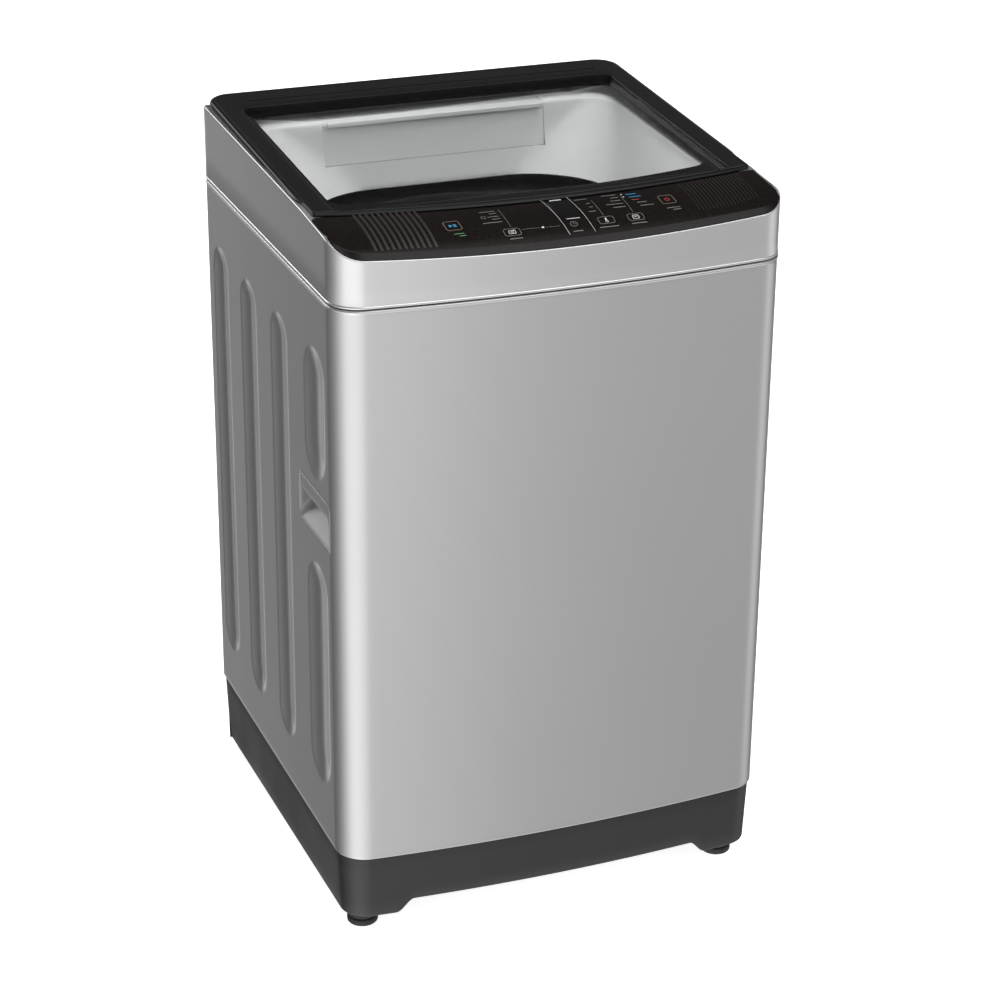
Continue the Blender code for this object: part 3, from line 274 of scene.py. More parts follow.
def rbox(bm, lo, hi, bevel=0.0008, segs=2, matrix=None):
    """A box with rounded edges, added to bm."""
    g = bmesh.ops.create_cube(bm, size=1.0)
    vs = g["verts"]
    size = [hi[i] - lo[i] for i in range(3)]
    mid = [(hi[i] + lo[i]) / 2 for i in range(3)]
    bmesh.ops.scale(bm, vec=size, verts=vs)
    bmesh.ops.translate(bm, vec=mid, verts=vs)
    es = list({e for v in vs for e in v.link_edges})
    if bevel:
        r = bmesh.ops.bevel(bm, geom=es, offset=min(bevel, 0.45 * min(size)), segments=segs, profile=0.5, affect="EDGES")
        vs = list({v for f in r["faces"] for v in f.verts} | {v for v in vs if v.is_valid})
    if matrix is not None:
        bmesh.ops.transform(bm, matrix=matrix, verts=list({v for v in vs if v.is_valid}))
    return bm


def lathe(bm, profile, steps=64, matrix=None, closed=False):
    """(radius, height) points turned about Z. Open ends on the axis are capped by the point itself."""
    rings = []
    for r, z in profile:
        if r < 1e-7:
            rings.append([bm.verts.new((0, 0, z))])
        else:
            rings.append([bm.verts.new((r * math.cos(2 * math.pi * i / steps), r * math.sin(2 * math.pi * i / steps), z)) for i in range(steps)])
    pairs = list(zip(rings, rings[1:])) + ([(rings[-1], rings[0])] if closed else [])
    for a, b in pairs:
        for i in range(steps):
            k = (i + 1) % steps
            if len(a) == 1 and len(b) == 1:
                continue
            if len(a) == 1:
                bm.faces.new((a[0], b[k], b[i]))
            elif len(b) == 1:
                bm.faces.new((a[i], a[k], b[0]))
            else:
                bm.faces.new((a[i], a[k], b[k], b[i]))
    if matrix is not None:
        bmesh.ops.transform(bm, matrix=matrix, verts=[v for r in rings for v in r])
    return bm


def prism(bm, outline, z0, z1, matrix=None, bevel=0.0):
    """A flat outline given thickness."""
    lower = [bm.verts.new((x, y, z0)) for x, y in outline]
    upper = [bm.verts.new((x, y, z1)) for x, y in outline]
    n = len(outline)
    faces = [bm.faces.new(lower[::-1]), bm.faces.new(upper)]
    for i in range(n):
        faces.append(bm.faces.new((lower[i], lower[(i + 1) % n], upper[(i + 1) % n], upper[i])))
    vs = lower + upper
    if bevel:
        es = [e for e in faces[1].edges]
        r = bmesh.ops.bevel(bm, geom=es, offset=bevel, segments=2, profile=0.5, affect="EDGES")
        vs = list({v for v in vs if v.is_valid} | {v for f in r["faces"] for v in f.verts})
    if matrix is not None:
        bmesh.ops.transform(bm, matrix=matrix, verts=vs)
    return bm


YZ = Matrix(((0, 0, 1, 0), (1, 0, 0, 0), (0, 1, 0, 0), (0, 0, 0, 1)))       # outline (y, z) thickness along x
XZ = Matrix(((1, 0, 0, 0), (0, 0, -1, 0), (0, 1, 0, 0), (0, 0, 0, 1)))      # outline (x, z) thickness along -y


def arc_rect(x0, x1, y0, y1, radii, n=8, m=6):
    """Rounded rectangle with radii (front left, front right, back right, back left), n points to a corner and m to a side."""
    corners = ((x0, y0, radii[0], 180), (x1, y0, radii[1], 270), (x1, y1, radii[2], 0), (x0, y1, radii[3], 90))
    arcs = []
    for cx, cy, r, a0 in corners:
        ox = cx + (r if cx == x0 else -r)
        oy = cy + (r if cy == y0 else -r)
        arcs.append([(ox + r * math.cos(math.radians(a0 + 90 * i / n)), oy + r * math.sin(math.radians(a0 + 90 * i / n))) for i in range(n + 1)])
    pts = []
    for k in range(4):
        pts += arcs[k]
        a, b = arcs[k][-1], arcs[(k + 1) % 4][0]
        pts += [(lerp(a[0], b[0], i / m), lerp(a[1], b[1], i / m)) for i in range(1, m)]
    return pts


def make(name, bm, mats, body, nodes=(), angle=38, recalc=True, doubles=1e-6):
    if doubles:
        bmesh.ops.remove_doubles(bm, verts=bm.verts, dist=doubles)
    bmesh.ops.dissolve_degenerate(bm, dist=1e-7, edges=bm.edges)
    loose = [v for v in bm.verts if not v.link_faces]
    if loose:
        bmesh.ops.delete(bm, geom=loose, context="VERTS")
    if recalc:
        bmesh.ops.recalc_face_normals(bm, faces=bm.faces)
    me = bpy.data.meshes.new(name)
    bm.to_mesh(me)
    bm.free()
    me.shade_smooth()
    me.set_sharp_from_angle(angle=math.radians(angle))
    o = bpy.data.objects.new(name, me)
    bpy.context.scene.collection.objects.link(o)
    for m in (mats if isinstance(mats, (list, tuple)) else [mats]):
        me.materials.append(m)
    if body:
        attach(o, body)
    if nodes:
        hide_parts(*nodes)
    return o


def settle(o, angle=38):
    """Applies the modifiers of a piece."""
    dg = bpy.context.evaluated_depsgraph_get()
    dg.update()
    me = bpy.data.meshes.new_from_object(o.evaluated_get(dg))
    o.modifiers.clear()
    o.data = me
    me.shade_smooth()
    me.set_sharp_from_angle(angle=math.radians(angle))
    return o


def cut(o, bm, op="DIFFERENCE", angle=38):
    bmesh.ops.recalc_face_normals(bm, faces=bm.faces)
    me = bpy.data.meshes.new("cutter")
    bm.to_mesh(me)
    bm.free()
    tool = bpy.data.objects.new("cutter", me)
    bpy.context.scene.collection.objects.link(tool)
    b = o.modifiers.new("cut", "BOOLEAN")
    b.operation = op
    b.solver = "EXACT"
    b.object = tool
    settle(o, angle)
    bpy.data.objects.remove(tool, do_unlink=True)
    return o


def thicken(o, t, offset=-1, rim=True):
    s = o.modifiers.new("wall", "SOLIDIFY")
    s.thickness = t
    s.offset = offset
    s.use_even_offset = True
    s.use_rim = rim
    return settle(o)


def face_out(bm, test):
    """Turns an open sheet so that the face chosen by test looks along its given direction."""
    bmesh.ops.recalc_face_normals(bm, faces=bm.faces)
    bm.faces.ensure_lookup_table()
    f, want = test(bm)
    if f.normal.dot(Vector(want)) < 0:
        bmesh.ops.reverse_faces(bm, faces=bm.faces)


# ------------------------------------------------------------------ cabinet plan outline
A0 = math.atan(2 * BOW * (HW - R_FRONT + 0.0039) / HW ** 2)
XS = HW - R_FRONT + R_FRONT * math.sin(A0)
CX, CY = HW - R_FRONT, YF + BOW * (XS / HW) ** 2 + R_FRONT * math.cos(A0)


def front_point(x):
    s = 2 * BOW * x / HW ** 2
    n = math.hypot(1, s)
    return (x, YF + BOW * (x / HW) ** 2, s / n, -1 / n)


def plan_half(front_x, n_corner, side_y, n_back, rb=R_BACK, yb=YB):
    pts = [front_point(x) for x in front_x]
    for i in range(n_corner + 1):
        t = -math.pi / 2 + A0 + (math.pi / 2 - A0) * i / n_corner
        pts.append((CX + R_FRONT * math.cos(t), CY + R_FRONT * math.sin(t), math.cos(t), math.sin(t)))
    pts += [(HW, y, 1.0, 0.0) for y in side_y]
    for i in range(n_back + 1):
        t = math.pi / 2 * i / n_back
        pts.append((HW - rb + rb * math.cos(t), yb - rb + rb * math.sin(t), math.cos(t), math.sin(t)))
    return pts


def full_loop(half, back=()):
    """Closes a right half (x 0 first) with its mirror image; back holds points of the back edge, right to left."""
    return half + list(back) + [(-x, y, -nx, ny) for x, y, nx, ny in reversed(half[1:])]


def inset(p, d):
    return (p[0] - d * p[2], p[1] - d * p[3])


def steps(a, b, n):
    return [a + (b - a) * i / n for i in range(n + 1)]


# ------------------------------------------------------------------ cabinet shell with pressed channels
CHANNELS = ((0.2090, 0.0305, 0.1755, 0.7325), (0.0900, 0.0315, 0.1740, 0.7300), (-0.0345, 0.0315, 0.1755, 0.7315), (-0.1690, 0.0365, 0.5780, 0.7370),
            (-0.1690, 0.0365, 0.1820, 0.4680))
CH_D = 0.0050
SHELL_IN = 0.0009


def channel(y, z):
    """Depth of the pressed channels: upright troughs with round ends, deepest behind their middle."""
    best = 0.0
    for yc, r, z0, z1 in CHANNELS:
        zn = max(z0 + r, min(z1 - r, z))
        d = math.hypot(y - yc, z - zn)
        if d < r * 1.3:
            q = (d / r) ** 2
            v = 1 - ((y - yc) / r - 0.15 * (1 - q)) ** 2 - ((z - zn) / r) ** 2 if q < 1 else 1 - q
            best = max(best, CH_D * 0.5 * (v + math.sqrt(v * v + 0.006)) - CH_D * 0.5 * 0.03)
    return max(best, 0.0)


def shell_edge(z):
    """Inset of the sheet's outer face near its two rolled edges."""
    top = Z_SEAM - z
    table = [(-1, 0.0022), (0.0, 0.0022), (0.0003, 0.0013), (0.0008, 0.0005), (0.0014, 0.0001), (0.0020, 0.0), (0.0026, 0.0001), (0.0036, 0.0006), (0.0046, SHELL_IN), (1, SHELL_IN)]
    v = SHELL_IN
    for (a, ia), (b, ib) in zip(table, table[1:]):
        if a <= top <= b:
            v = lerp(ia, ib, (top - a) / (b - a))
            break
    low = z - Z_BASE
    if low < 0.0016:
        v += 0.0010 * (1 - math.sqrt(max(0.0, 1 - ((0.0016 - low) / 0.0016) ** 2)))
    return v


def build_shell():
    us = [CY + 0.0015] + steps(-0.2135, 0.2595, 210)
    zs = [0.0, 0.0003, 0.0008, 0.0016]
    zs = [Z_BASE + z for z in zs] + steps(0.118, 0.166, 4) + steps(0.1690, 0.2190, 24) + steps(0.230, 0.420, 14) + steps(0.4260, 0.4740, 24)
    zs += steps(0.482, 0.565, 9) + steps(0.5715, 0.6175, 22) + steps(0.628, 0.684, 5) + steps(0.6900, 0.7420, 26) + steps(0.750, 0.7995, 5)
    zs += [Z_SEAM - d for d in (0.0046, 0.0041, 0.0037, 0.0033, 0.0030, 0.0026, 0.0022, 0.0018, 0.0014, 0.0011, 0.0008, 0.0005, 0.0003, 0.0001, 0.0)]
    fx = steps(0.0, XS, 30)[:-1]
    yb, rb = YB - 0.0017, 0.0045
    rows = []

    def row(z, e):
        half = []
        for x in fx:
            half.append(inset(front_point(x), e))
        for i in range(17):
            t = -math.pi / 2 + A0 + (math.pi / 2 - A0) * i / 16
            half.append(inset((CX + R_FRONT * math.cos(t), CY + R_FRONT * math.sin(t), math.cos(t), math.sin(t)), e))
        for u in us:
            half.append((HW - e - channel(u, z), u))
        for i in range(7):
            t = math.pi / 2 * i / 6
            half.append(inset((HW - rb + rb * math.cos(t), yb - rb + rb * math.sin(t), math.cos(t), math.sin(t)), e))
        half.append((HW - 0.028, yb - e))
        full = [(-x, y) for x, y in reversed(half[1:])] + half
        return [(x, y, z) for x, y in full]

    rows.append(row(Z_BASE, 0.0060))
    rows += [row(z, shell_edge(z)) for z in zs]
    rows.append(row(Z_SEAM - 0.0002, 0.0070))
    bm = skin(rows)
    face_out(bm, lambda b: (min(b.faces, key=lambda f: f.calc_center_median().y), (0, -1, 0)))
    o = make("cabinet_shell_skin", bm, PAINT, "cabinet", ["cabinet_shell"], recalc=False, doubles=0)
    s = o.modifiers.new("sheet", "SOLIDIFY")
    s.thickness, s.offset, s.use_even_offset = 0.0008, -1, False
    settle(o)
    tool = bmesh.new()
    for sx in (-1, 1):
        ring = arc_rect(-0.2188, -0.1042, 0.5037, 0.5613, (0.007,) * 4, 6, 2)
        a, b = sorted((sx * 0.300, sx * 0.262))
        prism(tool, ring, a, b, YZ)
    return cut(o, tool)


# ------------------------------------------------------------------ base skirt, feet
def base_bottom(x, y):
    side = 0.0265 - 0.012 * max(0.0, y + 0.235) / 0.535
    if y < -0.235:
        up = min(smooth((x + 0.2090) / 0.0225), smooth((0.2030 - x) / 0.0225))
        return 0.0265 + 0.0173 * up
    return side


def build_base():
    fx = sorted(set(steps(0.0, 0.178, 16) + steps(0.1785, 0.2110, 22) + steps(0.2160, XS - 0.004, 4)))
    half = plan_half(fx, 16, steps(-0.205, 0.255, 16), 4)
    loop = full_loop(half)
    rows = []

    def ring(t, e):
        out = []
        for p in loop:
            zb = base_bottom(p[0], p[1]) if p[1] < 0.2 or abs(p[0]) > 0.2 else base_bottom(0.27, p[1])
            z = lerp(zb, Z_BASE - 0.0003, t) if t <= 1 else 0
            d = lerp(0.0075, 0.0035, (z - 0.010) / 0.100)
            out.append((*inset(p, d + e), z))
        return out

    for t, e in ((0.0, 0.0022), (0.004, 0.0011), (0.012, 0.0003), (0.026, 0.0), (0.25, 0.0), (0.5, 0.0), (0.75, 0.0), (0.97, 0.0), (0.992, 0.0004), (1.0, 0.0012),
                 (1.0, 0.0036), (0.75, 0.0036), (0.5, 0.0036), (0.25, 0.0036), (0.02, 0.0034)):
        rows.append(ring(t, e))
    bm = skin(rows, True, True)
    # webs that carry the feet, with stiffening ribs
    for sx in (-1, 1):
        for y0, y1, cx, cy in ((-0.2480, -0.1850, 0.238, -0.210), (0.1900, 0.2550, 0.225, 0.222)):
            x0, x1 = sorted((sx * 0.2050, sx * 0.2620))
            rbox(bm, (x0, y0 + 0.010, 0.0445), (x1, y1, 0.0520), 0.001)
            lathe(bm, [(0.0065, 0.028), (0.0120, 0.028), (0.0125, 0.0300), (0.0140, 0.0450), (0.0065, 0.0450)], 32, Matrix.Translation((sx * cx, cy, 0)), True)
            for k in range(2):
                xa = sx * (0.213 + 0.036 * k)
                rbox(bm, (min(xa, xa + sx * 0.002), y0 + 0.012, 0.030), (max(xa, xa + sx * 0.002), y1 - 0.002, 0.046), 0.0005, 1)
    # cross members under the cabinet
    for y in (-0.02, 0.13):
        rbox(bm, (-0.262, y - 0.012, 0.060), (0.262, y + 0.012, 0.072), 0.002)
    return make("base_skirt", bm, GRAIN, "cabinet", ["base_frame"])


def build_feet():
    prof = [(0.0, 0.0), (0.0150, 0.0), (0.0178, 0.0006), (0.0187, 0.0018), (0.0190, 0.0032), (0.0190, 0.0072), (0.0184, 0.0086), (0.0168, 0.0092),
            (0.0164, 0.0100), (0.0176, 0.0106), (0.0182, 0.0116), (0.0182, 0.0148), (0.0176, 0.0160), (0.0150, 0.0166), (0.0110, 0.0170), (0.0108, 0.0215),
            (0.0050, 0.0220), (0.0048, 0.0600), (0.0, 0.0600)]
    for side, sx in (("left", -1), ("right", 1)):
        bm = bmesh.new()
        lathe(bm, prof, 48, Matrix.Translation((sx * 0.238, -0.210, 0)))
        # grip notches round the adjusting collar
        for i in range(12):
            a = 2 * math.pi * i / 12
            rbox(bm, (0.0150, -0.0013, 0.0110), (0.0186, 0.0013, 0.0155), 0.0004, 1,
                 Matrix.Translation((sx * 0.238, -0.210, 0)) @ Matrix.Rotation(a, 4, "Z"))
        make("levelling_foot_" + side, bm, RUBBER, "foot_" + side, ["front_foot_" + side])
    rear = [(0.0, 0.0), (0.0150, 0.0), (0.0178, 0.0006), (0.0188, 0.0020), (0.0190, 0.0035), (0.0190, 0.0100), (0.0178, 0.0140), (0.0122, 0.0285), (0.0112, 0.0295),
            (0.0050, 0.0296), (0.0048, 0.0560), (0.0, 0.0560)]
    for side, sx in (("left", -1), ("right", 1)):
        bm = bmesh.new()
        lathe(bm, rear, 48, Matrix.Translation((sx * 0.225, 0.222, 0)))
        make("fixed_foot_" + side, bm, RUBBER, "cabinet", ["rear_foot_" + side])


# ------------------------------------------------------------------ rear panel
def build_rear():
    """Pressed sheet: a raised field with cross ribs, a row of vents and a drain opening."""
    def depth(x, z):
        d = 0.0
        fx, fz = min(x + 0.225, 0.225 - x), min(z - 0.225, 0.770 - z)
        d += 0.0030 * smooth(min(fx, fz) / 0.008)
        for zc in (0.300, 0.400, 0.500, 0.600, 0.700):
            t = abs(z - zc)
            if abs(x) < 0.185:
                d -= 0.0024 * smooth((0.0125 - t) / 0.006) * smooth((0.185 - abs(x)) / 0.010)
        return d
    xs = steps(-0.262, -0.236, 3) + steps(-0.233, -0.214, 12) + steps(-0.21, -0.19, 6) + steps(-0.187, -0.170, 10) + steps(-0.16, 0.16, 16)
    xs += steps(0.170, 0.187, 10) + steps(0.19, 0.21, 6) + steps(0.214, 0.233, 12) + steps(0.236, 0.262, 3)
    zs = [0.1115] + steps(0.13, 0.21, 6)
    for c in (0.230, 0.300, 0.400, 0.500, 0.600, 0.700, 0.765):
        zs += steps(c - 0.014, c + 0.014, 14)
    zs += [0.79, 0.8055]
    zs = sorted({round(z, 5) for z in zs})
    rows = [[(x, 0.26765 - depth(x, z), z) for x in xs] for z in zs]
    bm = skin(rows)
    face_out(bm, lambda b: (b.faces[0], (0, 1, 0)))
    o = make("rear_panel_pressed", bm, PAINT, "cabinet", ["rear_panel"], recalc=False)
    thicken(o, 0.0008)
    tool = bmesh.new()
    lathe(tool, [(0.0, -0.02), (0.019, -0.02), (0.019, 0.02), (0.0, 0.02)], 40, Matrix.Translation((-0.205, 0.262, 0.175)) @ Matrix.Rotation(math.pi / 2, 4, "X"))
    for k in range(9):
        xa = 0.040 + 0.016 * k
        prism(tool, arc_rect(xa, xa + 0.005, 0.140, 0.195, (0.0024,) * 4, 4, 1), -0.30, -0.24, XZ)
    cut(o, tool)
    # a dark hood with slats behind the vents is painted shade: it darkens the slots where the inside of the cabinet
    # would lie in shade
    bm = bmesh.new()
    rings = []
    for y, g in ((0.2660, -0.0030), (0.2655, -0.0022), (0.2600, -0.0014), (0.2540, 0.0), (0.2528, 0.0012)):
        rings.append([(x, y, z) for x, z in arc_rect(0.0350 + g, 0.1780 - g, 0.1320 + g, 0.2030 - g, (0.005,) * 4, 5, 4)])
    skin(rings, True, False, bm)
    cap(bm, rings[-1])
    for k in range(5):
        z = 0.1440 + 0.0125 * k
        prism(bm, [(0.2532, z), (0.2536, z + 0.0008), (0.2618, z - 0.0052), (0.2612, z - 0.0060)], 0.0365, 0.1765, YZ)
    o = make("vent_shade_hood", bm, DARK, "cabinet", recalc=True)
    thicken(o, 0.0010)
    bm = bmesh.new()
    for x in (-0.252, 0.252):
        for z in (0.13, 0.36, 0.58, 0.79):
            m = Matrix.Translation((x, 0.2655, z)) @ Matrix.Rotation(-math.pi / 2, 4, "X")
            lathe(bm, [(0.0, 0.0), (0.0042, 0.0), (0.0042, 0.0010), (0.0036, 0.0018), (0.0012, 0.0021), (0.0, 0.0021)], 20, m)
            rbox(bm, (-0.0026, -0.0004, 0.0019), (0.0026, 0.0004, 0.00235), 0.0001, 1, m)
    make("rear_panel_screws", bm, ZINC, "cabinet")


# ------------------------------------------------------------------ top frame
def build_top():
    fx = steps(0.0, XS, 30)[:-1]
    side = steps(-0.2130, -0.150, 26) + steps(-0.144, 0.255, 34)
    half = plan_half(fx, 18, side, 6)
    back = [(0.2606, YB, 0.0, 1.0), (0.2604, YB, 0.0, 1.0)] + [(x, YB, 0.0, 1.0) for x in steps(0.24, -0.24, 12)] + [(-0.2604, YB, 0.0, 1.0), (-0.2606, YB, 0.0, 1.0)]
    loop = full_loop(half, back)
    z0 = Z_SEAM + 0.0011
    r = 0.0017

    def te(p):
        return 0.8860 if p[1] > YB - 1e-6 and abs(p[0]) < 0.2605 else top_edge(p[1])

    rows = []
    low = ((0.0052, 0.0), (0.0022, 0.0), (0.0013, 0.0003), (0.0005, 0.0008), (0.0001, 0.0014), (0.0, 0.0022), (0.0001, 0.0028), (0.0004, 0.0032), (0.0008, 0.0035), (SHELL_IN, 0.0038))
    for e, dz in low:
        rows.append([(*inset(p, e), z0 + dz) for p in loop])
    for t in (0.33, 0.66):
        rows.append([(*inset(p, SHELL_IN), lerp(z0 + 0.0046, te(p) - r - 0.002, t)) for p in loop])
    rows.append([(*inset(p, SHELL_IN), te(p) - r - 0.0012) for p in loop])
    for k in range(8):
        a = math.pi / 2 * k / 7
        rows.append([(*inset(p, SHELL_IN + r * (1 - math.cos(a))), te(p) - r + r * math.sin(a)) for p in loop])
    for e, dz in ((0.0034, -0.00002), (0.0044, -0.0003), (0.0048, -0.0010), (0.0048, -0.0060)):
        rows.append([(*inset(p, e), te(p) + dz) for p in loop])
    rows.append([(*inset(p, 0.0034), te(p) - 0.0085) for p in loop])
    rows.append([(*inset(p, 0.0034), z0 + 0.0050) for p in loop])
    rows.append([(*inset(p, 0.0052), z0 + 0.0020) for p in loop])
    bm = skin(rows, True, True)
    skin_o = make("top_frame_rim", bm, TOP_PAINT, "cabinet", ["top_frame"])
    tool = bmesh.new()
    rbox(tool, (0.1490, 0.2600, 0.8320), (0.2295, 0.2800, 0.8780), 0.0012)
    cut(skin_o, tool)

    bm = bmesh.new()
    for sx in (-1, 1):
        # flat ledges beside the lid
        ys = steps(-0.2140, 0.2328, 44)
        prof = []
        for y in ys:
            zt = top_edge(y) - 0.00006
            inner = 0.2525 if y > -0.1595 else 0.2640
            zl = deck_z(y) - 0.003
            prof.append([(sx * 0.2712, y, zt - 0.004), (sx * 0.2712, y, zt), (sx * (inner + 0.0010), y, zt), (sx * (inner + 0.0003), y, zt - 0.0003),
                         (sx * inner, y, zt - 0.0010), (sx * inner, y, zl), (sx * (inner - 0.0145), y, zl), (sx * (inner - 0.0145), y, zl - 0.002), (sx * 0.2712, y, zl - 0.002)])
        skin(prof, True, False, bm)
        cap(bm, prof[0])
        cap(bm, prof[-1][::-1])
        # block beside the hinge pocket
        x0, x1 = sorted((sx * 0.2605, sx * 0.2712))
        rbox(bm, (x0, 0.2300, 0.8700), (x1, 0.2455, top_edge(0.2400) - 0.0001), 0.0007)
        rbox(bm, (x0, 0.2440, 0.8700), (x1, 0.2662, 0.8912), 0.0007)
        x0, x1 = sorted((sx * 0.2525, sx * 0.2610))
        rbox(bm, (x0, 0.2285, 0.8700), (x1, 0.2330, top_edge(0.231) - 0.0002), 0.0006)
        # hinge lugs
        pts = [(HINGE_Y - 0.0060, 0.8845), (HINGE_Y - 0.0044, 0.8890)]
        pts += [(HINGE_Y - 0.00425 * math.cos(math.pi * i / 12), HINGE_Z + 0.00425 * math.sin(math.pi * i / 12)) for i in range(13)]
        pts += [(HINGE_Y + 0.0044, 0.8890), (HINGE_Y + 0.0060, 0.8845)]
        a, b = sorted((sx * HINGE_X - 0.005, sx * HINGE_X + 0.005))
        prism(bm, pts, a, b, YZ)
    # hinge pocket floor, and a rear shelf under the collar
    rbox(bm, (-0.2606, 0.2290, 0.8835), (0.2606, 0.2668, 0.8860), 0.0006)
    # shelf in front of the collar
    cols = []
    for x in steps(-0.2640, 0.2640, 44):
        xc = max(-0.2528, min(0.2528, x))
        y0 = lid_front(xc) - 0.0007
        zt = panel_z(y0) - 0.0080
        zl = deck_z(y0) - 0.003
        cols.append([(x, y0 - 0.012, zt), (x, y0 - 0.0004, zt), (x, y0, zt - 0.0004), (x, y0, zl), (x, -0.149, deck_z(-0.149) - 0.003), (x, -0.149, zl - 0.006), (x, y0 - 0.012, zl - 0.006)])
    skin(cols, True, False, bm)
    cap(bm, cols[0])
    cap(bm, cols[-1][::-1])
    # tray under the fascia
    rbox(bm, (-0.2450, -0.2450, 0.8450), (0.2450, -0.1700, 0.8475), 0.001)
    # service recess at the back: four walls and a floor, open to the rear
    x0, x1, z0r, z1r = 0.1490, 0.2295, 0.8320, 0.8780
    rings = []
    for y, g in ((0.2677, -0.0010), (0.2679, -0.0004), (0.2677, 0.0), (0.2450, 0.0006), (0.2438, 0.0014)):
        rings.append([(x, y, z) for x, z in arc_rect(x0 + g, x1 - g, z0r + g, z1r - g, (0.003,) * 4, 5, 3)])
    for y, g in ((0.2438, 0.0014), (0.2420, -0.0010), (0.2660, -0.0010)):
        rings.append([(x, y, z) for x, z in arc_rect(x0 + g, x1 - g, z0r + g, z1r - g, (0.003,) * 4, 5, 3)])
    skin(rings[:5], True, False, bm)
    inner = make("top_frame_seat", bm, TOP_PAINT, "cabinet", angle=34)
    # recess back wall with its two holes
    bm = bmesh.new()
    prism(bm, arc_rect(x0 - 0.001, x1 + 0.001, z0r - 0.001, z1r + 0.001, (0.003,) * 4, 5, 3), -0.2443, -0.2418, XZ)
    wall = make("service_recess_wall", bm, TOP_PAINT, "cabinet")
    tool = bmesh.new()
    for x, z, rad in ((0.2090, 0.855, 0.0146), (0.1665, 0.850, 0.0088)):
        lathe(tool, [(0.0, -0.02), (rad, -0.02), (rad, 0.02), (0.0, 0.02)], 40, Matrix.Translation((x, 0.243, z)) @ Matrix.Rotation(math.pi / 2, 4, "X"))
    cut(wall, tool)


# ------------------------------------------------------------------ side grips
def build_handles():
    """A pocket whose floor ramps up and in behind a rounded bar."""
    y0, y1, z0, z1 = -0.2191, -0.1039, 0.5034, 0.5616
    for side, sx in (("left", -1), ("right", 1)):
        def ring(x, g, up=0.0):
            pts = arc_rect(y0 + g, y1 - g, z0 + g + up, z1 - g, (max(0.0015, 0.0040 - g * 0.3), max(0.002, 0.0115 - g * 0.6), max(0.002, 0.0045 - g * 0.3), max(0.002, 0.0070 - g * 0.5)), 8, 6)
            return [(sx * x, y, z) for y, z in pts]

        bm = bmesh.new()
        rings = [ring(x, g, up) for x, g, up in (
            (0.2700, -0.0002, 0), (0.2744, -0.0009, 0), (0.27495, -0.0004, 0), (0.2750, 0.0004, 0), (0.27485, 0.0014, 0), (0.2744, 0.0020, 0), (0.2732, 0.0024, 0),
            (0.2726, 0.0026, 0.0004), (0.2700, 0.0028, 0.0030), (0.2650, 0.0032, 0.0080), (0.2600, 0.0036, 0.0130), (0.2560, 0.0040, 0.0170), (0.2530, 0.0048, 0.0200),
            (0.2505, 0.0060, 0.0225), (0.2490, 0.0085, 0.0245), (0.2486, 0.0120, 0.0250))]
        skin(rings, True, False, bm)
        cap(bm, rings[-1])
        bmesh.ops.remove_doubles(bm, verts=bm.verts, dist=1e-6)
        face_out(bm, lambda m: (max(m.faces, key=lambda f: len(f.verts)), (sx, 0, 0)))
        o = make("grip_pocket_" + side, bm, GRIP, "cabinet", ["side_handle_" + side], recalc=False, angle=45)
        thicken(o, 0.0014)
        # the bar: a rounded roll across the top, bent down at its front end
        def section(h, k):
            pts = []
            for i in range(13):
                t = math.radians(-70 + 150 * i / 12)
                pts.append((0.2672 + 0.0077 * math.cos(t) * k, h + 0.0113 * math.sin(t)))
            pts += [(0.2650, h + 0.0106), (0.2640, h - 0.0040), (0.2650, h - 0.0100)]
            return pts
        rows = []
        for i in range(33):
            y = lerp(y0 + 0.0009, y1 - 0.0009, i / 32)
            d = y - y0
            k = 1.0 - 0.35 * (1 - smooth((y1 - y) / 0.006))
            drop = 0.0150 * (1 - smooth(d / 0.0110)) ** 1.5
            rows.append([(sx * min(x, 0.27495), y, z - drop * smooth((0.5600 - z) / 0.0200)) for x, z in section(0.5497, k)])
        bm = bmesh.new()
        skin(rows, True, False, bm)
        cap(bm, rows[0])
        cap(bm, rows[-1][::-1])
        make("grip_bar_" + side, bm, GRIP, "cabinet", angle=50)


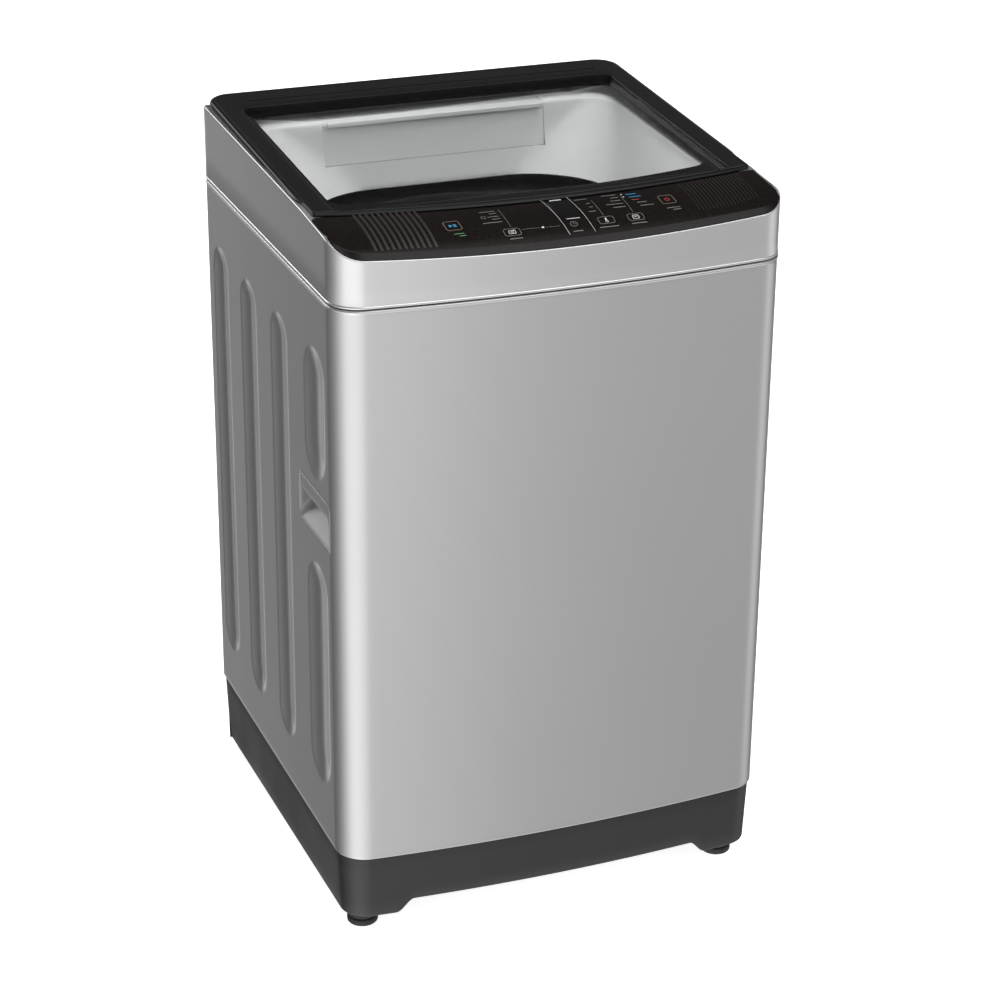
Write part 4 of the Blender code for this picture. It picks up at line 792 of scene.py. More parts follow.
# ------------------------------------------------------------------ loading collar
def build_collar():
    key = [(0.2505, -0.1560, 0.2350, 0.0060, 0.0060, deck_z, 0.0), (0.2425, -0.1508, 0.2150, 0.0200, 0.0180, deck_z, 0.0),
           (0.2352, -0.1462, 0.1877, 0.0400, 0.0300, deck_z, 0.0), (0.2340, -0.1452, 0.1865, 0.0402, 0.0302, deck_z, -0.0004),
           (0.2331, -0.1447, 0.1858, 0.0405, 0.0305, deck_z, -0.0014), (0.2322, -0.1444, 0.1851, 0.0410, 0.0310, deck_z, -0.0040)]
    rings = [[(x, y, zf(y) + dz) for x, y in arc_rect(-hw, hw, y0, y1, (rf, rf, r, r), 14, 14)] for hw, y0, y1, r, rf, zf, dz in key]
    # funnel from the mouth down to the port
    a = (0.2322, -0.1444, 0.1851, 0.041, 0.031)
    b = (0.2130, -0.1455, 0.1790, 0.080, 0.060)
    c = (0.1950, -0.1500, 0.1720, 0.110, 0.100)
    for i in range(1, 13):
        t = i / 12
        # quadratic through the three sections
        l0 = 2 * (t - 0.5) * (t - 1)
        l1 = -4 * t * (t - 1)
        l2 = 2 * t * (t - 0.5)
        hw, y0, y1, r, rf = (l0 * p + l1 * q + l2 * s for p, q, s in zip(a, b, c))
        rings.append([(x, y, lerp(deck_z(y) - 0.0040, 0.8006, t ** 1.0)) for x, y in arc_rect(-hw, hw, y0, y1, (rf, rf, r, r), 14, 14)])
    hw, y0, y1, r, rf = c
    rings.append([(x, y, 0.8000) for x, y in arc_rect(-hw - 0.0002, hw + 0.0002, y0 - 0.0002, y1 + 0.0002, (rf, rf, r, r), 14, 14)])
    rings.append([(x, y, 0.7992) for x, y in arc_rect(-hw - 0.0012, hw + 0.0012, y0 - 0.0012, y1 + 0.0012, (rf, rf, r, r), 14, 14)])
    bm = skin(rings, True)
    face_out(bm, lambda m: (max(m.faces, key=lambda f: f.calc_center_median().z), (0, 0, 1)))
    o = make("loading_collar_skin", bm, COLLAR, "cabinet", ["loading_collar"], recalc=False)
    thicken(o, 0.0022)
    tool = bmesh.new()
    rbox(tool, (-0.1461, 0.1600, 0.8328), (0.1461, 0.2292, 0.9200), 0.0)
    return cut(o, tool)


def collar_wall(z):
    """Depth of the collar's rear wall at a height."""
    t = max(0.0, min(1.0, (0.8829 - z) / (0.8829 - 0.8006)))
    return 0.1851 * 2 * (t - 0.5) * (t - 1) - 0.1790 * 4 * t * (t - 1) + 0.1720 * 2 * t * (t - 0.5)


def build_dispenser():
    bm = bmesh.new()
    rbox(bm, (-0.1458, 0.1902, 0.8305), (0.1458, 0.2378, 0.8795), 0.0)
    o = make("dispenser_box", bm, COLLAR, "cabinet", ["dispenser_housing"])
    t = bmesh.new()
    rbox(t, (-0.1458, 0.1902, 0.8700), (0.1458, 0.2288, 0.8868), 0.0)
    cut(o, t, "UNION")
    t = bmesh.new()
    rbox(t, (-0.1438, 0.1800, 0.8325), (0.1438, 0.2360, 0.8778), 0.0)
    cut(o, t)
    b = o.modifiers.new("edges", "BEVEL")
    b.width, b.segments, b.limit_method, b.angle_limit = 0.0006, 2, "ANGLE", math.radians(50)
    settle(o, 20)

    bm = bmesh.new()
    rbox(bm, (-0.1432, 0.1896, 0.8330), (0.1432, 0.2350, 0.8700), 0.0)
    o = make("dispenser_drawer", bm, WHITE, "drawer", ["detergent_drawer"])
    t = bmesh.new()
    wall = [(collar_wall(z) + 0.0006, z) for z in steps(0.8334, 0.8796, 10)]
    prism(t, wall + [(0.1846, 0.8830), (0.1856, 0.8866), (0.1898, 0.8866), (0.1898, 0.8334)], -0.1457, 0.1457, YZ)
    cut(o, t, "UNION")
    t = bmesh.new()
    prism(t, [(0.1806, 0.8812), (0.1800, 0.8818), (0.1800, 0.8860), (0.1806, 0.8868), (0.1870, 0.8868), (0.1870, 0.8812)], -0.1405, 0.1405, YZ)
    cut(o, t, "UNION")
    t = bmesh.new()
    for x0, x1 in ((-0.1414, -0.0310), (-0.0292, 0.0620), (0.0638, 0.1414)):
        prism(t, arc_rect(x0, x1, 0.1914, 0.2332, (0.003,) * 4, 4, 1), 0.8350, 0.90)
    cut(o, t)
    b = o.modifiers.new("edges", "BEVEL")
    b.width, b.segments, b.limit_method, b.angle_limit = 0.0007, 2, "ANGLE", math.radians(50)
    settle(o, 20)


# ------------------------------------------------------------------ lid
def lid_ring(d, n=12, m=40, front_r=0.0035):
    """Lid outline inset by d: bowed front, small front corners, round back corners."""
    hw, yb, r = LID_HW - d, LID_YB - d, max(LID_R - d, 0.002)
    fr = front_r
    yc = lid_front(hw) + d + fr
    pts = []
    for cx, cy, rr, a0 in ((-hw + fr, yc, fr, 180), (hw - fr, yc, fr, 270), (hw - r, yb - r, r, 0), (-hw + r, yb - r, r, 90)):
        pts.append([(cx + rr * math.cos(math.radians(a0 + 90 * i / n)), cy + rr * math.sin(math.radians(a0 + 90 * i / n))) for i in range(n + 1)])
    out = []
    for k in range(4):
        out += pts[k]
        a, b = pts[k][-1], pts[(k + 1) % 4][0]
        for i in range(1, m):
            x, y = lerp(a[0], b[0], i / m), lerp(a[1], b[1], i / m)
            if k == 0:
                y = lid_front(x) + d
            out.append((x, y))
    return out


def pane_ring(hw, y0, y1, r, n=12, m=40):
    return arc_rect(-hw, hw, y0, y1, (r,) * 4, n, m)


def clear_ring(d, n=12, m=40):
    """Edge of the clear area: its front follows the bow of the lid."""
    hw = OPENING[0] - d
    out = []
    for x, y in arc_rect(-hw, hw, OPENING[1] + d, OPENING[2] - d, (0.0160, 0.0160, 0.0260, 0.0260), n, m):
        out.append((x, y + 0.0255 * (x / 0.2325) ** 2 * (1 - smooth((y - OPENING[1]) / 0.30))))
    return out


def blend_ring(a, b, t):
    return [(lerp(p[0], q[0], t), lerp(p[1], q[1], t)) for p, q in zip(a, b)]


def build_lid():
    outer = lid_ring(0.0)
    O = lambda d: lid_ring(d)

    def under(x, y):
        """The side skirt draws in near its front end."""
        return 0.0050 * smooth((-0.100 - y) / 0.020) if abs(x) > 0.255 else 0.0

    def shifted(ring, d0):
        out = []
        for (x, y), (xo, yo) in zip(ring, outer):
            k = max(0.0, under(xo, yo) - d0)
            out.append((x - math.copysign(k, x) if abs(x) > 0.25 else x, y))
        return out

    rows = []
    K = [(max(-0.2512, min(0.2512, x)), max(y, lid_front(x) + 0.0016)) for x, y in pane_ring(0.2512, -0.1820, 0.2320, 0.004)]
    K = [(x, y if y > -0.10 else max(y, lid_front(x) + 0.0016)) for x, y in K]
    for d, off in ((0.0016, None), (0.0004, 0.0004), (0.0, 0.0012)):
        base = shifted(O(d), d)
        rows.append([(x, y, top_edge(y) + 0.0007 + (off or 0.0)) for x, y in base])
    for k in range(1, 3):
        base = shifted(O(0.0), 0.0) if k == 1 else shifted(O(0.0002), 0.0)
        rows.append([(x, y, lerp(top_edge(y) + 0.0019, max(lid_plane(y) - 0.0046, top_edge(y) + 0.0024), k / 2)) for x, y in base])
    for k in range(0, 8):
        a = math.pi / 2 * k / 7
        d = 0.0002 + 0.0046 * (1 - math.cos(a)) ** 1.15
        base = shifted(O(d), d)
        rows.append([(x, y, max(lid_plane(y) - 0.0046 + 0.0044 * math.sin(a), top_edge(y) + 0.0022)) for x, y in base])
    # fine crease, then the flat of the rim
    rows.append([(x, y, lid_plane(y) + 0.00005) for x, y in O(0.0053)])
    rows.append([(x, y, lid_plane(y) - 0.00005) for x, y in O(0.0058)])
    rows.append([(x, y, lid_plane(y) - 0.0003) for x, y in O(0.0066)])
    G = GLASS_RECT
    inner = pane_ring(G[0] + 0.0014, G[1] - 0.0014, G[2] + 0.0014, G[3] + 0.0014)
    o7 = O(0.0076)

    for t in (0.0, 0.3, 0.7, 1.0):
        rows.append([(x, y, lid_plane(y) - 0.0003) for x, y in blend_ring(o7, inner, t)])
    for k in range(1, 6):
        a = math.pi / 2 * k / 5
        e = 0.0014 - 0.0010 * math.sin(a)
        rows.append([(x, y, lid_plane(y) - 0.0003 - 0.0010 * (1 - math.cos(a))) for x, y in pane_ring(G[0] + e, G[1] - e, G[2] + e, G[3] + e)])
    rows.append([(x, y, lid_plane(y) - 0.0093) for x, y in pane_ring(G[0] + 0.0004, G[1] - 0.0004, G[2] + 0.0004, G[3])])
    rows.append([(x, y, lid_plane(y) - 0.0093) for x, y in clear_ring(-0.0006)])
    rows.append([(x, y, lid_plane(y) - 0.0098) for x, y in clear_ring(0.0)])
    rows.append([(x, y, lid_plane(y) - 0.0118) for x, y in clear_ring(0.0)])
    rows.append([(x, y, lid_plane(y) - 0.0125) for x, y in clear_ring(-0.0008)])
    Kr = pane_ring(0.2504, -0.1660, 0.2310, 0.004)
    Ko = pane_ring(0.2512, -0.1668, 0.2318, 0.004)

    def hug(ring, d):
        """The lower part follows the bowed front edge."""
        out = []
        for x, y in ring:
            if y < -0.150:
                y = max(lid_front(x) + d, -0.185)
            out.append((x, y))
        return out

    rows.append([(x, y, lid_plane(y) - 0.0125) for x, y in hug(Kr, 0.0028)])
    rows.append([(x, y, lid_plane(y) - 0.0118) for x, y in hug(Ko, 0.0020)])
    rows.append([(x, y, min(top_edge(y) + 0.0010, lid_plane(y) - 0.0030)) for x, y in hug(Ko, 0.0020)])
    bm = skin(rows, True, True)
    o = make("lid_rim", bm, LID_BLACK, "lid", ["lid_frame"], angle=32)
    tool = bmesh.new()
    for sx in (-1, 1):
        rbox(tool, (sx * HINGE_X - 0.0066, 0.2410, 0.8700), (sx * HINGE_X + 0.0066, 0.3000, 0.9103), 0.0)
    # the straight groove across the back of the lid
    w = 0.0011
    slot = [(-0.2265 - w * math.sin(math.pi * i / 6), 0.2288 + w * math.cos(math.pi * i / 6)) for i in range(7)]
    slot += [(0.2295 + w * math.sin(math.pi * i / 6), 0.2288 - w * math.cos(math.pi * i / 6)) for i in range(7)]
    prism(tool, slot, lid_plane(0.2288) - 0.0016, 0.93)
    cut(o, tool, angle=32)
    # small glints at the ends of the rear groove: moulded end stops
    bm = bmesh.new()
    for x in (-0.2290, 0.2322):
        m = Matrix.Translation((x, 0.2288, lid_plane(0.2288) - 0.0005))
        lathe(bm, [(0.0, 0.0), (0.0018, 0.0), (0.0017, 0.0005), (0.0012, 0.0011), (0.0006, 0.0014), (0.0, 0.0015)], 20, m)
    make("lid_groove_ends", bm, MATS["piano_black"], "lid")

    bm = bmesh.new()
    rings = []
    for e, dz in ((0.0004, -0.0090), (0.0, -0.0086), (0.0, -0.00525), (0.0001, -0.00508), (0.0003, -0.0050)):
        rings.append([(x, y, lid_plane(y) + dz) for x, y in pane_ring(G[0] - e, G[1] + e, G[2] - e, G[3])])
    skin(rings, True, False, bm)
    cap(bm, rings[0][::-1])
    cap(bm, rings[-1])
    make("lid_pane", bm, GLASS, "lid", ["lid_glass"])
    # printed border under the pane
    bm = bmesh.new()
    a = pane_ring(G[0] - 0.0006, G[1] + 0.0006, G[2] - 0.0006, G[3])
    b = clear_ring(0.0010)
    rows = [[(x, y, lid_plane(y) - 0.00908) for x, y in a], [(x, y, lid_plane(y) - 0.00908) for x, y in b],
            [(x, y, lid_plane(y) - 0.00918) for x, y in b], [(x, y, lid_plane(y) - 0.00918) for x, y in a]]
    skin(rows, True, True, bm)
    make("pane_border", bm, PIANO, "lid")


# ------------------------------------------------------------------ control fascia
def fascia_outline(e):
    """Plan outline of the fascia, inset e from its own edge."""
    d = 0.0019 + e
    hw = 0.2728 - e
    rr = max(0.0065 - e, 0.0012)
    pts = []
    # rear right corner, rear edge, rear left corner
    yr = lambda x: lid_front(max(-0.2640, min(0.2640, x))) - 0.0012 - e
    for i in range(9):
        t = math.radians(90 * i / 8)
        pts.append((hw - rr + rr * math.cos(t), yr(hw - rr) - rr + rr * math.sin(t)))
    for x in steps(hw - rr, -hw + rr, 48)[1:-1]:
        pts.append((x, yr(x)))
    for i in range(9):
        t = math.radians(90 + 90 * i / 8)
        pts.append((-hw + rr + rr * math.cos(t), yr(hw - rr) - rr + rr * math.sin(t)))
    # left side, round the front, right side
    side = []
    for y in steps(yr(hw - rr) - rr, CY, 7)[1:-1]:
        side.append((hw, y))
    arc = []
    for i in range(17):
        t = math.pi / 2 * 0 - (math.pi / 2 - A0) * i / 16
        r = R_FRONT - d
        x, y = CX + r * math.cos(t), CY + r * math.sin(t)
        arc.append((min(x, hw), y))
    fr = [inset(front_point(x), d) for x in steps(XS, 0.0, 26)[1:]]
    right = side + arc + fr
    left = [(-x, y) for x, y in right]
    return pts + left + list(reversed(right[:-1]))


def build_fascia():
    prof = ((0.0, 1.0), (0.0005, 0.90), (0.0016, 0.72), (0.0027, 0.52), (0.0036, 0.34), (0.0043, 0.19), (0.0047, 0.115), (0.0050, 0.075), (0.0054, 0.055), (0.0060, 0.048),
            (0.0080, 0.028), (0.0105, 0.010), (0.0135, 0.0))
    edge = fascia_outline(0.0)
    drop = []
    for x, y in edge:
        rear = y > lid_front(x) - 0.004
        if rear and abs(x) < 0.268:
            drop.append(0.0016)
        else:
            drop.append(max(panel_z(y) - (top_edge(y) - 0.0004), 0.0016))
    # ease the change of depth round the rear corners
    n = len(drop)
    for _ in range(6):
        drop = [(drop[i - 1] + 2 * drop[i] + drop[(i + 1) % n]) / 4 for i in range(n)]
    rows = [[(x, y, panel_z(y) - dr - 0.0030) for (x, y), dr in zip(edge, drop)]]
    for e, f in prof:
        rows.append([(x, y, panel_z(y) - dr * f) for (x, y), dr in zip(fascia_outline(e), drop)])
    bm = skin(rows, True)
    bm.verts.ensure_lookup_table()
    last = [bm.verts[i] for i in range(len(bm.verts) - n, len(bm.verts))]
    bm.faces.new(last)
    for y in steps(-0.2600, -0.1640, 24):
        bmesh.ops.bisect_plane(bm, geom=bm.verts[:] + bm.edges[:] + bm.faces[:], plane_co=(0, y, 0), plane_no=(0, 1, 0))
    for x in steps(-0.252, 0.252, 42):
        bmesh.ops.bisect_plane(bm, geom=bm.verts[:] + bm.edges[:] + bm.faces[:], plane_co=(x, 0, 0), plane_no=(1, 0, 0))
    hole = {v for v in last if v.is_valid}
    big = [v for v in bm.verts if v.is_valid]
    ring = fascia_outline(0.0135)

    def inside(x, y):
        c = False
        j = len(ring) - 1
        for i in range(len(ring)):
            xi, yi = ring[i]
            xj, yj = ring[j]
            if (yi > y) != (yj > y) and x < (xj - xi) * (y - yi) / (yj - yi) + xi:
                c = not c
            j = i
        return c

    for v in big:
        if v not in hole and inside(v.co.x, v.co.y):
            v.co.z = panel_z(v.co.y)
    face_out(bm, lambda m: (min(m.faces, key=lambda f: (f.calc_center_median() - Vector((0, -0.21, 0.88))).length), (0, 0, 1)))
    o = make("fascia_panel", bm, PIANO, "cabinet", ["control_fascia"], recalc=False, angle=30)
    thicken(o, 0.0022)
    tool = bmesh.new()
    for name, body, x, y, w, h, r in KEYS:
        m = key_matrix(x, y)
        prism(tool, arc_rect(-w / 2 - 0.0004, w / 2 + 0.0004, -h / 2 - 0.0004, h / 2 + 0.0004, (r + 0.0003,) * 4, 6, 1), -0.02, 0.01, m)
    prism(tool, arc_rect(WIN[0], WIN[1], WIN[2], WIN[3], (0.0012,) * 4, 4, 1), 0.80, 0.95)
    cut(o, tool, angle=30)


def key_matrix(x, y):
    s = -0.172 - y
    return Matrix.Translation((x, y, panel_z(y))) @ Matrix.Rotation(math.atan(0.0915 + 59.85 * s * s), 4, "X")


def strip(bm, pts, w, lift=0.00010, t=0.00008):
    """A printed line of width w along points (x, y) on the fascia."""
    for (xa, ya), (xb, yb) in zip(pts, pts[1:]):
        ln = math.hypot(xb - xa, yb - ya)
        if ln < 1e-6:
            continue
        nx, ny = -(yb - ya) / ln * w / 2, (xb - xa) / ln * w / 2
        n = max(1, int(ln / 0.006))
        rows = []
        for i in range(n + 1):
            x, y = lerp(xa, xb, i / n), lerp(ya, yb, i / n)
            z = lambda yy: panel_z(yy) + lift
            rows.append([(x + nx, y + ny, z(y + ny) - t), (x + nx, y + ny, z(y + ny)), (x - nx, y - ny, z(y - ny)), (x - nx, y - ny, z(y - ny) - t)])
        skin(rows, True, False, bm)
        cap(bm, rows[0])
        cap(bm, rows[-1][::-1])


def ring_strip(bm, outline, w, matrix, z=0.00010, t=0.00008):
    """A printed closed outline of width w, in a key's own plane."""
    n = len(outline)
    out, inn = [], []
    for i, (x, y) in enumerate(outline):
        (xa, ya), (xb, yb) = outline[i - 1], outline[(i + 1) % n]
        ln = math.hypot(xb - xa, yb - ya)
        nx, ny = (yb - ya) / ln * w / 2, -(xb - xa) / ln * w / 2
        out.append((x + nx, y + ny))
        inn.append((x - nx, y - ny))
    rows = [[matrix @ Vector((x, y, z - t)) for x, y in out], [matrix @ Vector((x, y, z)) for x, y in out],
            [matrix @ Vector((x, y, z)) for x, y in inn], [matrix @ Vector((x, y, z - t)) for x, y in inn]]
    skin(rows, True, True, bm)


def bars(bm, x, y, widths, pitch=0.0042, h=0.0012):
    """Rows of short bars standing in for a list of labels, right aligned at x."""
    for i, w in enumerate(widths):
        yy = y - pitch * i
        strip(bm, [(x - w, yy), (x, yy)], h)


def build_prints():
    bm = bmesh.new()
    # column lines beside the display, under the temperature and spin lists
    strip(bm, [(-0.0079, -0.1851), (-0.0010, -0.2569)], 0.00034)
    strip(bm, [(0.0240, -0.1849), (0.0298, -0.2562)], 0.00034)
    make("fascia_column_lines", bm, PRINT, "cabinet")
    bm = bmesh.new()
    strip(bm, [(-0.0641, -0.1964), (-0.0631, -0.2350)], 0.0004)
    strip(bm, [(0.0478, -0.1998), (0.0489, -0.2335)], 0.0004)
    strip(bm, [(0.0851, -0.1964), (0.0852, -0.2335)], 0.0004)
    strip(bm, [(-0.0525, -0.2412), (-0.0310, -0.2416)], 0.0003)
    strip(bm, [(-0.0240, -0.2420), (-0.0075, -0.2426)], 0.0003)
    # wash list left of the program key, with one ring marker
    bars(bm, -0.0690, -0.1990, (0.0185, 0.0090), 0.0055, 0.0010)
    bars(bm, -0.0690, -0.2115, (0.0130, 0.0095), 0.0055, 0.0010)
    bars(bm, -0.0690, -0.2235, (0.0230,), 0.0055, 0.0010)
    bars(bm, 0.0440, -0.1950, (0.0150,), 0.0055, 0.0009)
    bars(bm, 0.0440, -0.2060, (0.0050, 0.0045), 0.0085, 0.0010)
    bars(bm, 0.0440, -0.2235, (0.0090,), 0.0055, 0.0010)
    bars(bm, 0.0810, -0.1925, (0.0180, 0.0095, 0.0125, 0.0205, 0.0150), 0.0072, 0.0010)
    bars(bm, 0.1095, -0.2160, (0.0115,), 0.0055, 0.0010)
    bars(bm, 0.1150, -0.2230, (0.0160,), 0.0055, 0.0010)
    # captions under the keys
    bars(bm, -0.0560, -0.2535, (0.0150,), 0.0040, 0.0009)
    bars(bm, 0.0165, -0.2530, (0.0120,), 0.0040, 0.0010)
    bars(bm, 0.0600, -0.2520, (0.0230,), 0.0040, 0.0009)
    bars(bm, 0.0950, -0.2515, (0.0190,), 0.0040, 0.0009)
    bars(bm, 0.1435, -0.2335, (0.0165, 0.0100), 0.0036, 0.0009)
    ring_strip(bm, arc_rect(-0.0026, 0.0026, -0.0026, 0.0026, (0.0025,) * 4, 5, 1), 0.0006, key_matrix(-0.0870, -0.2115))
    make("fascia_label_bars", bm, PRINT_GREY, "cabinet")
    bm = bmesh.new()
    bars(bm, 0.0150, -0.1895, (0.0140,), 0.0045, 0.0018)
    bars(bm, 0.0205, -0.2325, (0.0160,), 0.0045, 0.0009)
    strip(bm, [(-0.0290, -0.2417), (-0.0262, -0.2418)], 0.0022)
    strip(bm, [(0.0868, -0.1935), (0.0885, -0.1935)], 0.0016)
    strip(bm, [(0.0868, -0.2000), (0.0885, -0.2000)], 0.0016)
    make("fascia_bright_marks", bm, PRINT, "cabinet")
    bm = bmesh.new()
    strip(bm, [(0.0925, -0.1950), (0.1050, -0.1950)], 0.0010)
    strip(bm, [(0.0935, -0.2020), (0.1085, -0.2020)], 0.0010)
    make("fascia_blue_marks", bm, PRINT_BLUE, "cabinet")
    bm = bmesh.new()
    strip(bm, [(0.0940, -0.2090), (0.1030, -0.2090)], 0.0010)
    make("fascia_red_marks", bm, PRINT_RED, "cabinet")
    bm = bmesh.new()
    bars(bm, -0.1190, -0.2365, (0.0120,), 0.0036, 0.0009)
    bars(bm, -0.1180, -0.2402, (0.0075,), 0.0036, 0.0009)
    make("fascia_green_marks", bm, PRINT_GREEN, "cabinet")
    # hatch of fine raised lines at both ends; their lighter colour is partly a painted highlight, standing in for light
    # catching the ridges
    bm = bmesh.new()
    for i in range(11):
        t = i / 10
        xa, xb = lerp(-0.2250, -0.1565, t), lerp(-0.2250, -0.1565, t)
        ya, yb = lerp(-0.1660, -0.1760, t), lerp(-0.2500, -0.2545, t)
        strip(bm, [(xa, ya - 0.001), (xb, yb + 0.002)], 0.0032, 0.00020, 0.0003)
    for i in range(18):
        x = 0.1640 + 0.0046 * i
        ya = max(-0.2450, lid_front(x) - 0.0085)
        strip(bm, [(x, ya), (x, -0.2430 + 0.0022 * max(0, i - 8) * 0.5)], 0.0006, 0.00015, 0.0002)
    make("fascia_hatch", bm, HATCH_SHEEN, "cabinet")

    # display window glass
    bm = bmesh.new()
    rows = []
    for y in steps(WIN[2] + 0.0004, WIN[3] - 0.0004, 10):
        z = panel_z(y)
        rows.append([(WIN[0] + 0.0004, y, z - 0.0033), (WIN[0] + 0.0004, y, z - 0.0004), (WIN[0] + 0.0007, y, z - 0.0001), (WIN[1] - 0.0007, y, z - 0.0001),
                     (WIN[1] - 0.0004, y, z - 0.0004), (WIN[1] - 0.0004, y, z - 0.0033)])
    skin(rows, True, False, bm)
    cap(bm, rows[0])
    cap(bm, rows[-1][::-1])
    make("display_glass", bm, surface("display_black", (0.0035, 0.0035, 0.004), 0.07, spec=0.5, coat=0.5, coat_rough=0.02, vary=0.2, fine=80.0,
                                      rough_vary=0.02, bump=None), "cabinet", ["display_window"])


def build_keys():
    for name, body, x, y, w, h, r in KEYS:
        m = key_matrix(x, y)
        bm = bmesh.new()
        rings = []
        for g, z in ((0.0, -0.0052), (0.0, -0.0001), (0.00012, 0.00018), (0.0004, 0.00034), (0.0008, 0.0004)):
            rr = max(r - g, 0.0008)
            rings.append([m @ Vector((px, py, z)) for px, py in arc_rect(-w / 2 + g, w / 2 - g, -h / 2 + g, h / 2 - g, (rr,) * 4, 8, 2)])
        skin(rings, True, False, bm)
        cap(bm, rings[0][::-1])
        cap(bm, rings[-1])
        make(name + "_cap", bm, PIANO, body, [name])
        top = m @ Matrix.Translation((0, 0, 0.0004))
        # outline printed on the cap
        bm = bmesh.new()
        if name in ("start_key", "power_key"):
            ring_strip(bm, arc_rect(-w / 2 + 0.0022, w / 2 - 0.0022, -h / 2 + 0.0020, h / 2 - 0.0020, (0.0032,) * 4, 8, 2), 0.0006, top)
            make(name + "_outline", bm, PRINT_COPPER, body)
        elif name != "delay_key":
            ring_strip(bm, arc_rect(-w / 2 + 0.0016, w / 2 - 0.0016, -h / 2 + 0.0014, h / 2 - 0.0014, (0.0030,) * 4, 8, 2), 0.0005, top)
            make(name + "_outline", bm, PRINT_GREY, body)
        else:
            bm.free()
        # icon
        bm = bmesh.new()

        def bar(x0, y0, x1, y1, z=0.0001):
            rbox(bm, (min(x0, x1), min(y0, y1), z - 0.00008), (max(x0, x1), max(y0, y1), z), 0.0, 1, top)

        def tri(pts):
            prism(bm, pts, 0.00002, 0.0001, top)

        if name == "start_key":
            tri([(-0.0042, -0.0028), (-0.0002, 0.0), (-0.0042, 0.0028)])
            bar(0.0010, -0.0028, 0.0020, 0.0028)
            bar(0.0030, -0.0028, 0.0040, 0.0028)
            mat = PRINT_BLUE
        elif name == "power_key":
            arc = [(0.0026 * math.cos(math.radians(a)), 0.0026 * math.sin(math.radians(a))) for a in range(120, 421, 12)]
            pts = [(x * 1.18, y * 1.18) for x, y in arc] + [(x * 0.86, y * 0.86) for x, y in reversed(arc)]
            tri(pts)
            bar(-0.0004, 0.0006, 0.0004, 0.0036)
            mat = PRINT_RED
        elif name == "delay_key":
            ring_strip(bm, arc_rect(-0.0040, 0.0040, -0.0040, 0.0040, (0.0039,) * 4, 8, 1), 0.0006, top)
            bar(-0.0003, -0.0002, 0.0003, 0.0026)
            bar(-0.0002, -0.0003, 0.0020, 0.0003)
            mat = PRINT_GREY
        elif name == "temperature_key":
            bar(-0.0008, -0.0010, 0.0008, 0.0036)
            ring_strip(bm, arc_rect(-0.0015, 0.0015, -0.0038, -0.0008, (0.0014,) * 4, 6, 1), 0.0006, top)
            mat = PRINT
        elif name == "spin_key":
            ring_strip(bm, arc_rect(-0.0036, 0.0036, -0.0030, 0.0030, (0.0012,) * 4, 6, 1), 0.0006, top)
            bar(-0.0020, 0.0004, 0.0020, 0.0010)
            mat = PRINT
        else:
            ring_strip(bm, arc_rect(-0.0040, 0.0040, -0.0026, 0.0026, (0.0012,) * 4, 6, 1), 0.0006, top)
            ring_strip(bm, arc_rect(-0.0014, 0.0014, -0.0014, 0.0014, (0.0013,) * 4, 6, 1), 0.0005, top)
            bar(0.0024, 0.0034, 0.0038, 0.0040)
            mat = PRINT
        make(name + "_icon", bm, mat, body)


